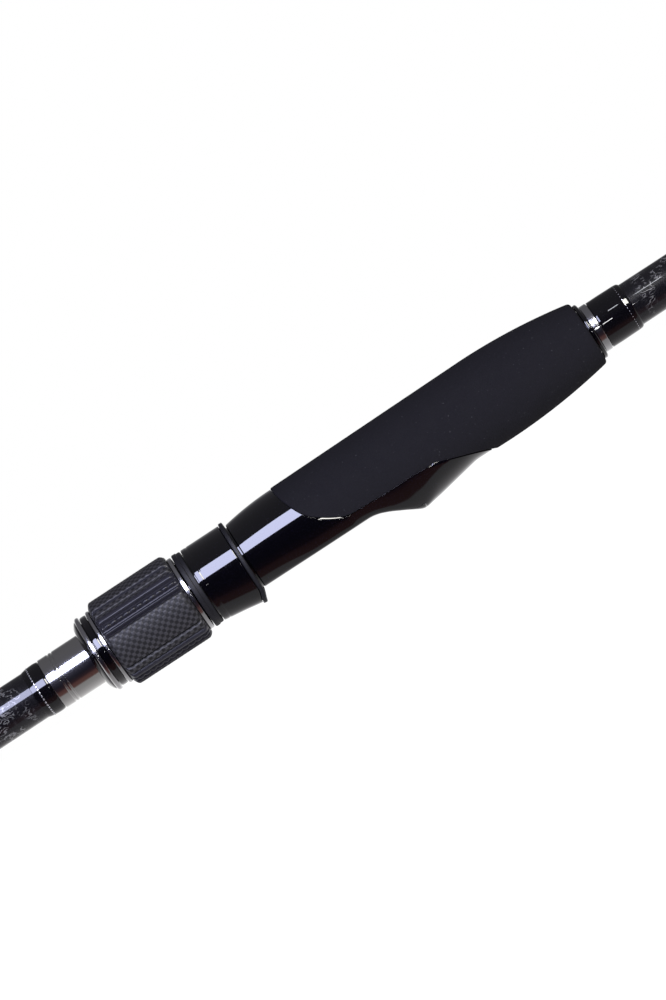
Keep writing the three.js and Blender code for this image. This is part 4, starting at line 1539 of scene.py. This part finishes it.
@dataclass
class Foregrip(SubAssembly):
    """The foam foregrip, with the ring, check, wrap and trim in front of it."""

    gap: float = 0.1
    lip_round: float = 0.55
    end: float = 86.9
    last: float = 85.6
    room: float = 9.2
    wall_depth: float = 1.6
    edge: FoamEdge = field(default_factory=FoamEdge)

    def radius(self, x: np.ndarray) -> np.ndarray:
        """The foam's radius: a slow swell, then a fall by a square law to the front end."""
        swell = 11.95 + (12.65 - 11.95) * (np.minimum(x, 54.0) + 8.1) / 62.1
        return swell - 0.00293 * np.maximum(x - 54.0, 0) ** 2

    def skin(self, x: np.ndarray, angle: np.ndarray) -> tuple[np.ndarray, np.ndarray]:
        """Y and Z of the foam, round everywhere."""
        radius = self.radius(x)
        return radius * np.sin(angle), radius * np.cos(angle)

    def foam(self, seat: ReelSeat) -> Shell:
        """The foam as one closed skin.

        Rows go from the foot of the wall at the seat's edge, up and round the lip, over the skin
        to the front end, and back along the bore and the room for the seat's core.

        Args:
            seat: The seat, whose edge and core the foam fits.

        Returns:
            The skin.
        """
        edge_x, edge_angle = self.edge.trace(self.skin, self.gap)
        end = self.edge.fanned(edge_x, edge_angle)
        edge_x = self.edge.mirrored(edge_x, False)
        edge_angle, end = (self.edge.mirrored(a, True) for a in (edge_angle, end))
        points, normal, across = seat.edge_frame(self.skin, edge_x, edge_angle)
        turn = np.linspace(np.pi / 2, 0, 7)[:, None, None]
        lip = points + self.lip_round * ((1 - np.sin(turn)) * across - (1 - np.cos(turn)) * normal)
        wall = lip[:1] - self.wall_depth * normal
        foot_x = wall[0, :, 0]
        begin_x = lip[-1, :, 0]
        share = np.linspace(0, 1, 130)[1:, None]
        x = begin_x * (1 - share) + self.last * share
        angle = edge_angle * (1 - share) + end * share
        y, z = self.skin(x, angle)
        outer = np.stack([x, y, z], -1)
        bore = blank_radius(FOOT_CENTRE + seat.front) + 0.15
        room_end = seat.front + 0.3
        front = rounded(np.array([(self.last, 9.75), (86.5, 9.5), (self.end, 9.1),
                                  (self.end, bore), (room_end, bore), (room_end, self.room)]),
                        0.35)
        front_angle = np.broadcast_to(end, (len(front), len(end)))
        rim = np.stack([front[:, :1] + 0 * front_angle, front[:, 1:] * np.sin(front_angle),
                        front[:, 1:] * np.cos(front_angle)], -1)
        share = np.linspace(0, 1, 24)[1:, None]
        back_x = room_end * (1 - share) + foot_x * share
        back_angle = end * (1 - share) + edge_angle * share
        back = np.stack([back_x, self.room * np.sin(back_angle),
                         self.room * np.cos(back_angle)], -1)
        before = np.broadcast_to(edge_angle, (len(lip) + 1, len(edge_angle)))
        points = np.concatenate([wall, lip, outer, rim[5:], back])
        angles = np.concatenate([before, angle, front_angle[5:], back_angle])
        points[..., 0] += FOOT_CENTRE
        return Shell(points * MM, points[..., 0], angles / (2 * np.pi))

    def build(self, seat: ReelSeat) -> None:
        """Builds the foam and the pieces in front of it."""
        foam = self.add("foregrip", [self.foam(seat)], Slot.FOAM, Body.ROD)
        end_ring = [(87.1, 6.6), (87.1, 8.3), (87.35, 8.4), (87.9, 8.4), (88.2, 8.1), (88.2, 6.6)]
        self.add("foregrip_end_ring", [turned(end_ring, FOOT_CENTRE, 0.15)], Slot.GLOSS, Body.ROD)
        check = [(88.35, 6.6), (88.35, 7.05), (88.5, 7.15), (90.25, 7.15), (90.4, 7.05),
                 (90.4, 6.6)]
        self.add("winding_check", [turned(check, FOOT_CENTRE, 0.12, 160)], Slot.STEEL, Body.ROD)
        wrap = [(90.6, 6.5), (90.6, 6.98), (91.0, 7.03), (94.0, 7.06), (99.2, 6.99), (100.3, 6.88),
                (100.9, 6.4)]
        self.add("foregrip_wrap", [turned(wrap, FOOT_CENTRE, 0.3, 160)], Slot.THREAD, Body.ROD)
        TrimThread(self.finishes).lay("foregrip_trim", FOOT_CENTRE + 98.9, FOOT_CENTRE + 99.3,
                                      6.8, 7.0, Body.ROD)


# ---------------------------------------------------------------- line guides


@dataclass
class LineGuide(SubAssembly):
    """A line guide: a hard ring in a wire frame, held to the blank by wraps over its feet."""

    number: int
    station: float
    size: float
    height: float
    body: Body
    double: bool

    @property
    def name(self) -> str:
        """The start of the guide's node names."""
        return f"guide_{self.number}"

    @property
    def inner(self) -> float:
        """The hard ring's inner radius."""
        return self.size / 2 - 1 - 0.035 * self.size

    @property
    def seam(self) -> float:
        """The radius where the hard ring meets the frame."""
        return self.inner + 0.55 * (self.size / 2 - self.inner)

    @property
    def blank(self) -> float:
        """The blank's radius behind the guide."""
        return blank_radius(self.station - 25,
                            BUTT_TAPER if self.body is Body.ROD else TIP_TAPER)

    @property
    def foot_half(self) -> float:
        """Half a foot's width where it starts."""
        return 1.1 + 0.02 * self.size

    def foot_span(self, direction: int) -> tuple[float, float]:
        """Where the foot towards the tip or the butt starts and ends, from the guide's station."""
        base = direction * (0.5 * self.height + 1)
        return base, base + direction * (9 + 0.25 * self.size)

    def insert(self) -> Shell:
        """The hard ring, thickest at its middle."""
        half = 0.6 + 0.02 * self.size
        outline = [(-half, self.seam - 0.07), (-half * 0.75, self.inner + 0.25),
                   (0.0, self.inner), (half * 0.75, self.inner + 0.25), (half, self.seam - 0.07)]
        return turned(outline, self.station, 0.4, 96, self.height)

    def foot(self, direction: int) -> list[Shell]:
        """A foot, a flat bar that thins towards its end, and its pair of legs.

        A leg is the quadratic curve from the ring's side to the foot.

        Args:
            direction: One towards the tip, minus one towards the butt.

        Returns:
            The skins.
        """
        base, end = self.foot_span(direction)
        deck = -(self.blank + 0.3)
        half = self.foot_half
        share = np.linspace(0, 1, 30)
        x = self.station + base + (end - base) * share
        thick = 0.35 * (1 - 0.6 * share)
        path = np.stack([x, 0 * x, deck - thick], 1)
        shells = [swept(path, half * (1 - 0.35 * share**2) + 0 * x, 24, 0.28)]
        grip = (self.size / 2 + self.seam) / 2
        spread = math.radians(52)
        wire = 0.5 + 0.012 * self.size
        t = np.linspace(0, 1, 28)[:, None]
        for side in (-1, 1):
            hold = np.array([0.0, side * grip * math.sin(spread),
                             grip * math.cos(spread) - self.height])
            root = np.array([base + direction * 2.2, side * (half - 0.55), deck - 0.45])
            knee = np.array([base * 0.96, side * half * 0.95, deck - 1.1 - 0.04 * self.height])
            leg = (1 - t) ** 2 * hold + 2 * t * (1 - t) * knee + t**2 * root
            leg[:, 0] += self.station
            shells.append(swept(leg, np.full(len(leg), wire) * (1 - 0.35 * t[:, 0] ** 4), 14))
        return shells

    def wrap(self, direction: int) -> Shell:
        """The thread and resin over a foot, which rises over it as a smooth hump.

        Args:
            direction: One towards the tip, minus one towards the butt.

        Returns:
            The skin.
        """
        base, end = self.foot_span(direction)
        low = min(base, end) + (2.5 if direction > 0 else -2.0)
        high = max(base, end) + (2.0 if direction > 0 else -2.5)
        x = np.linspace(low, high, 44)[:, None]
        angle = turns(96)[None, :]
        off = np.abs(angle - np.pi)
        reach = math.atan(self.foot_half / (self.blank + 1))
        beyond = np.maximum(off - reach, 0)
        over = (self.blank + 1.05) / np.cos(np.minimum(off, reach)) - self.blank - 0.2
        hump = over * np.exp(-((beyond / 0.32) ** 2))
        ends = eased(low, low + 1.6, x) * (1 - eased(high - 1.6, high, x))
        radius = self.blank + 0.14 + 0.36 * ends + hump * (0.15 + 0.85 * ends) * ends**0.5
        radius = np.concatenate([radius[:1] * 0 + self.blank + 0.12, radius,
                                 radius[:1] * 0 + self.blank + 0.12])
        x = np.concatenate([x[:1], x, x[-1:]])
        return about_axis(x + self.station, radius, angle)

    def build(self) -> None:
        """Builds the frame, the hard ring and the wraps."""
        half = 0.45 + 0.015 * self.size
        holder = ring(-half, half, self.seam + 0.07, self.size / 2)
        frame = [turned(holder, self.station, 0.3, 96, self.height)]
        for direction in (-1, 1) if self.double else (-1,):
            frame += self.foot(direction)
            end = ("rear_wrap" if direction < 0 else "front_wrap") if self.double else "wrap"
            self.add(f"{self.name}_{end}", [self.wrap(direction)], Slot.THREAD, self.body)
        self.add(f"{self.name}_frame", frame, Slot.GUNMETAL, self.body)
        self.add(f"{self.name}_ring", [self.insert()], Slot.CERAMIC, self.body)


@dataclass
class GuideTrain(SubAssembly):
    """All the line guides, large near the reel and small towards the tip, and the tip top."""

    stations: tuple = (815, 1055, 1235, 1385, 1515, 1630, 1735)
    sizes: tuple = (30, 20, 16, 12, 10, 8, 8)
    heights: tuple = (29.0, 21.0, 16.5, 12.5, 10.0, 8.2, 7.6)
    double_feet: int = 3
    tip: float = 1823.0

    def tip_top(self) -> None:
        """A tube over the blank's end, a ring held below it and in front, and a wrap."""
        size, height, reach = 8.0, 6.0, 6.0
        guide = LineGuide(self.finishes, 8, self.tip + reach, size, height, Body.TIP, False)
        tube = [(-14.0, 1.55), (-14.0, 1.95), (-13.7, 2.05), (-0.4, 2.05), (0.6, 1.7), (1.0, 1.0),
                (1.0, 0.0), (0.3, 0.0), (0.3, 1.55)]
        half = 0.45 + 0.015 * size
        frame = [turned(tube, self.tip, 0.2, 64),
                 turned(ring(-half, half, guide.seam + 0.07, size / 2), self.tip + reach, 0.25, 96,
                        height)]
        grip = (size / 2 + guide.seam) / 2
        spread = math.radians(65)
        t = np.linspace(0, 1, 24)[:, None]
        sides = [(side * grip * math.sin(spread), grip * math.cos(spread) - height, -9.0,
                  side * 0.9, -1.6) for side in (-1, 1)]
        for y, z, root_x, root_y, root_z in [*sides, (0.0, grip - height, -2.0, 0.0, -1.5)]:
            hold, root = np.array([reach, y, z]), np.array([root_x, root_y, root_z])
            leg = hold * (1 - t) + root * t
            leg[:, 0] += self.tip
            frame.append(swept(leg, np.full(len(leg), 0.5), 12))
        guide.add("tip_top_frame", frame, Slot.GUNMETAL, Body.TIP)
        guide.add("tip_top_ring", [guide.insert()], Slot.CERAMIC, Body.TIP)
        wrap = [(-22.0, 1.35), (-21.6, 1.75), (-20.8, 1.9), (-15.2, 1.9), (-14.5, 1.85),
                (-14.4, 1.35)]
        guide.add("tip_top_wrap", [turned(wrap, self.tip, 0.35, 64)], Slot.THREAD, Body.TIP)

    def build(self) -> None:
        """Builds every guide and the tip top."""
        rows = zip(self.stations, self.sizes, self.heights)
        for number, (station, size, height) in enumerate(rows, start=1):
            body = Body.ROD if number == 1 else Body.TIP
            LineGuide(self.finishes, number, float(station), float(size), height, body,
                      number <= self.double_feet).build()
        self.tip_top()


# ---------------------------------------------------------------- studio


@dataclass
class Studio:
    """Floor, lights, surroundings and the camera."""

    target: tuple = (0.3146, 0.0, 0.0)
    roll: float = math.radians(33.25)
    distance: float = 1.5
    lens: float = 199.95
    sensor: float = 36.0
    floor_level: float = -0.0505
    softbox_span: tuple = (-0.75, 0.392)
    softbox_height: float = 0.472
    softbox_reach: float = 0.9
    softbox_tilt: float = math.radians(27.3)
    floor_half: float = 6.0
    surroundings: tuple = (
        (-180, (1.10, 1.10, 1.10)), (-165, (1.0, 1.0, 1.0)), (-140, (0.62, 0.61, 0.62)),
        (-110, (0.42, 0.41, 0.42)), (-90, (0.31, 0.305, 0.31)), (-69, (0.27, 0.265, 0.27)),
        (-66, (0.12, 0.062, 0.055)), (-50, (0.10, 0.046, 0.043)), (-42, (0.03, 0.016, 0.02)),
        (-25, (0.010, 0.009, 0.016)), (0, (0.018, 0.016, 0.03)), (9, (0.04, 0.04, 0.055)),
        (46, (0.11, 0.108, 0.125)), (90, (0.115, 0.113, 0.125)), (140, (0.11, 0.108, 0.118)),
        (162, (0.3, 0.3, 0.31)), (176, (1.0, 1.0, 1.0)), (180, (1.10, 1.10, 1.10)),
    )

    def world(self) -> None:
        """White behind the object, and round it a ring of tones by height above the horizon.

        The tone is read at the angle of the direction in the plane across the rod, counted from
        the camera's side upwards.
        """
        world = bpy.data.worlds.new("surroundings")
        world.use_nodes = True
        world.node_tree.nodes.clear()
        graph = Graph(world.node_tree)
        way = graph.split(graph.node("TexCoord").outputs["Generated"])
        toward = graph.math("MULTIPLY", way[1], -1.0)
        angle = graph.math("ARCTAN2", way[2], toward)
        share = graph.math("MULTIPLY_ADD", angle, 1 / (2 * math.pi), 0.5)
        ramp = graph.node("ValToRGB", share)
        stops = ramp.color_ramp.elements
        while len(stops) < len(self.surroundings):
            stops.new(0.5)
        for stop, (degrees, _) in zip(stops, self.surroundings):
            stop.position = degrees / 360 + 0.5
        for stop, (_, tone) in zip(stops, self.surroundings):
            stop.color = shade(*tone)
        seen = graph.node("LightPath").outputs["Is Camera Ray"]
        tone = graph.blend(seen, ramp.outputs[0], shade(1.0, 1.0, 1.0))
        light = graph.node("Background", tone, 1.0)
        graph.feed(graph.node("OutputWorld").inputs["Surface"], light.outputs[0])
        bpy.context.scene.world = world

    def lamp(self, name: str, centre: tuple, toward: tuple, size: tuple, radiance: float,
             tint: tuple = (1.0, 1.0, 1.0)) -> None:
        """Adds a flat light.

        Args:
            name: Its name.
            centre: Its place.
            toward: The point it faces.
            size: Its width along the rod and its height.
            radiance: How bright its face looks.
            tint: Its colour.
        """
        data = bpy.data.lights.new(name, "AREA")
        data.shape, data.size, data.size_y = "RECTANGLE", size[0], size[1]
        data.energy = radiance * math.pi * size[0] * size[1]
        data.color = tint
        lamp = bpy.data.objects.new(name, data)
        back = (Vector(centre) - Vector(toward)).normalized()
        up = back.cross(Vector((1.0, 0.0, 0.0))).normalized()
        along = up.cross(back)
        turn = Matrix((along, up, back)).transposed()
        lamp.matrix_world = Matrix.Translation(centre) @ turn.to_4x4()
        bpy.context.scene.collection.objects.link(lamp)

    def lights(self) -> None:
        """A long softbox, two small front lights and a softbox off to the side.

        The long one hangs over the camera and ends above the seat. The small ones make the spots
        on the foregrip's wrap, and the one to the side the glints along the seat's edge.
        """
        up = self.softbox_reach * math.sin(self.softbox_tilt)
        out = -self.softbox_reach * math.cos(self.softbox_tilt)
        low, high = self.softbox_span
        middle = (low + high) / 2
        self.lamp("softbox", (middle, out, up), (middle, 0, 0),
                  (high - low, self.softbox_height), 10.8, (0.68, 0.71, 1.0))
        self.lamp("front_spot", (0.444, -0.88, -0.066), (0.4, 0, 0), (0.06, 0.035), 20.0)
        self.lamp("front_spot_high", (0.483, -0.74, 0.48), (0.4, 0, 0), (0.014, 0.05), 9.0,
                  (0.9, 0.93, 1.0))
        self.lamp("side_softbox", (0.70, -0.72, 0.36), (0.33, 0, 0), (0.42, 0.37), 15.0,
                  (1.0, 0.98, 0.93))

    def floor(self) -> None:
        """A plain pale floor that lights itself enough to stay white, and isn't reflected."""
        half = self.floor_half
        mesh = bpy.data.meshes.new("floor")
        corners = [(-half, -half), (half, -half), (half, half), (-half, half)]
        mesh.from_pydata([(x, y, self.floor_level) for x, y in corners], [], [(0, 1, 2, 3)])
        floor = bpy.data.objects.new("floor", mesh)
        bpy.context.scene.collection.objects.link(floor)
        material = bpy.data.materials.new("pale_floor")
        material.use_nodes = True
        graph = Graph(material.node_tree)
        shader = material.node_tree.nodes["Principled BSDF"].inputs
        mottle = graph.noise(graph.node("TexCoord").outputs["Object"], 3.0)
        graph.feed(shader["Base Color"], graph.blend(mottle, shade(0.8, 0.8, 0.8),
                                                     shade(0.84, 0.84, 0.84)))
        shader["Roughness"].default_value = 0.9
        shader["Specular IOR Level"].default_value = 0.0
        shader["Emission Color"].default_value = shade(1.0, 1.0, 1.0)
        shader["Emission Strength"].default_value = 0.97
        mesh.materials.append(material)
        floor.visible_glossy = False

    def camera(self) -> None:
        """A long lens square to the rod, rolled so that the rod climbs to the right."""
        data = bpy.data.cameras.new("camera")
        data.lens, data.sensor_width = self.lens, self.sensor
        data.clip_start, data.clip_end = 0.01, 50.0
        camera = bpy.data.objects.new("camera", data)
        cosine, sine = math.cos(self.roll), math.sin(self.roll)
        right, up, back = Vector((cosine, 0, -sine)), Vector((sine, 0, cosine)), Vector((0, -1, 0))
        turn = Matrix((right, up, back)).transposed()
        place = Vector(self.target) + back * self.distance
        camera.matrix_world = Matrix.Translation(place) @ turn.to_4x4()
        bpy.context.scene.collection.objects.link(camera)
        bpy.context.scene.camera = camera

    def build(self) -> None:
        """Sets up everything."""
        self.world()
        self.lights()
        self.floor()
        self.camera()
        bpy.context.scene.view_settings.view_transform = "Standard"


def dress_inner_nodes(frame: dict, finishes: Finishes) -> None:
    """Gives the carried-over inner nodes their materials."""
    slots = {row["node"]: row["material_slot"] for row in frame["record"]["subparts"]}
    for name in ("seat_arbor_rear", "seat_arbor_middle", "seat_arbor_front", "nut_core"):
        node = frame["nodes"][name]
        for place in range(len(node.material_slots)):
            node.material_slots[place].material = finishes.by_slot[Slot(slots[name])]
        LOG.info("%s keeps its own mesh", name)


def main() -> None:
    """Builds the rod's looks from the butt to the tip, then the studio."""
    logging.basicConfig(level=logging.INFO, format="%(name)s: %(message)s")
    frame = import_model()
    finishes = Finishes()
    dress_inner_nodes(frame, finishes)
    ButtEnd(finishes).build()
    Blanks(finishes).build()
    seat = ReelSeat(finishes)
    seat.build()
    ScrewHood(finishes).build()
    LockNut(finishes).build()
    Foregrip(finishes).build(seat)
    GuideTrain(finishes).build()
    Studio().build()
    bpy.context.view_layer.update()


if __name__ == "__main__":
    main()
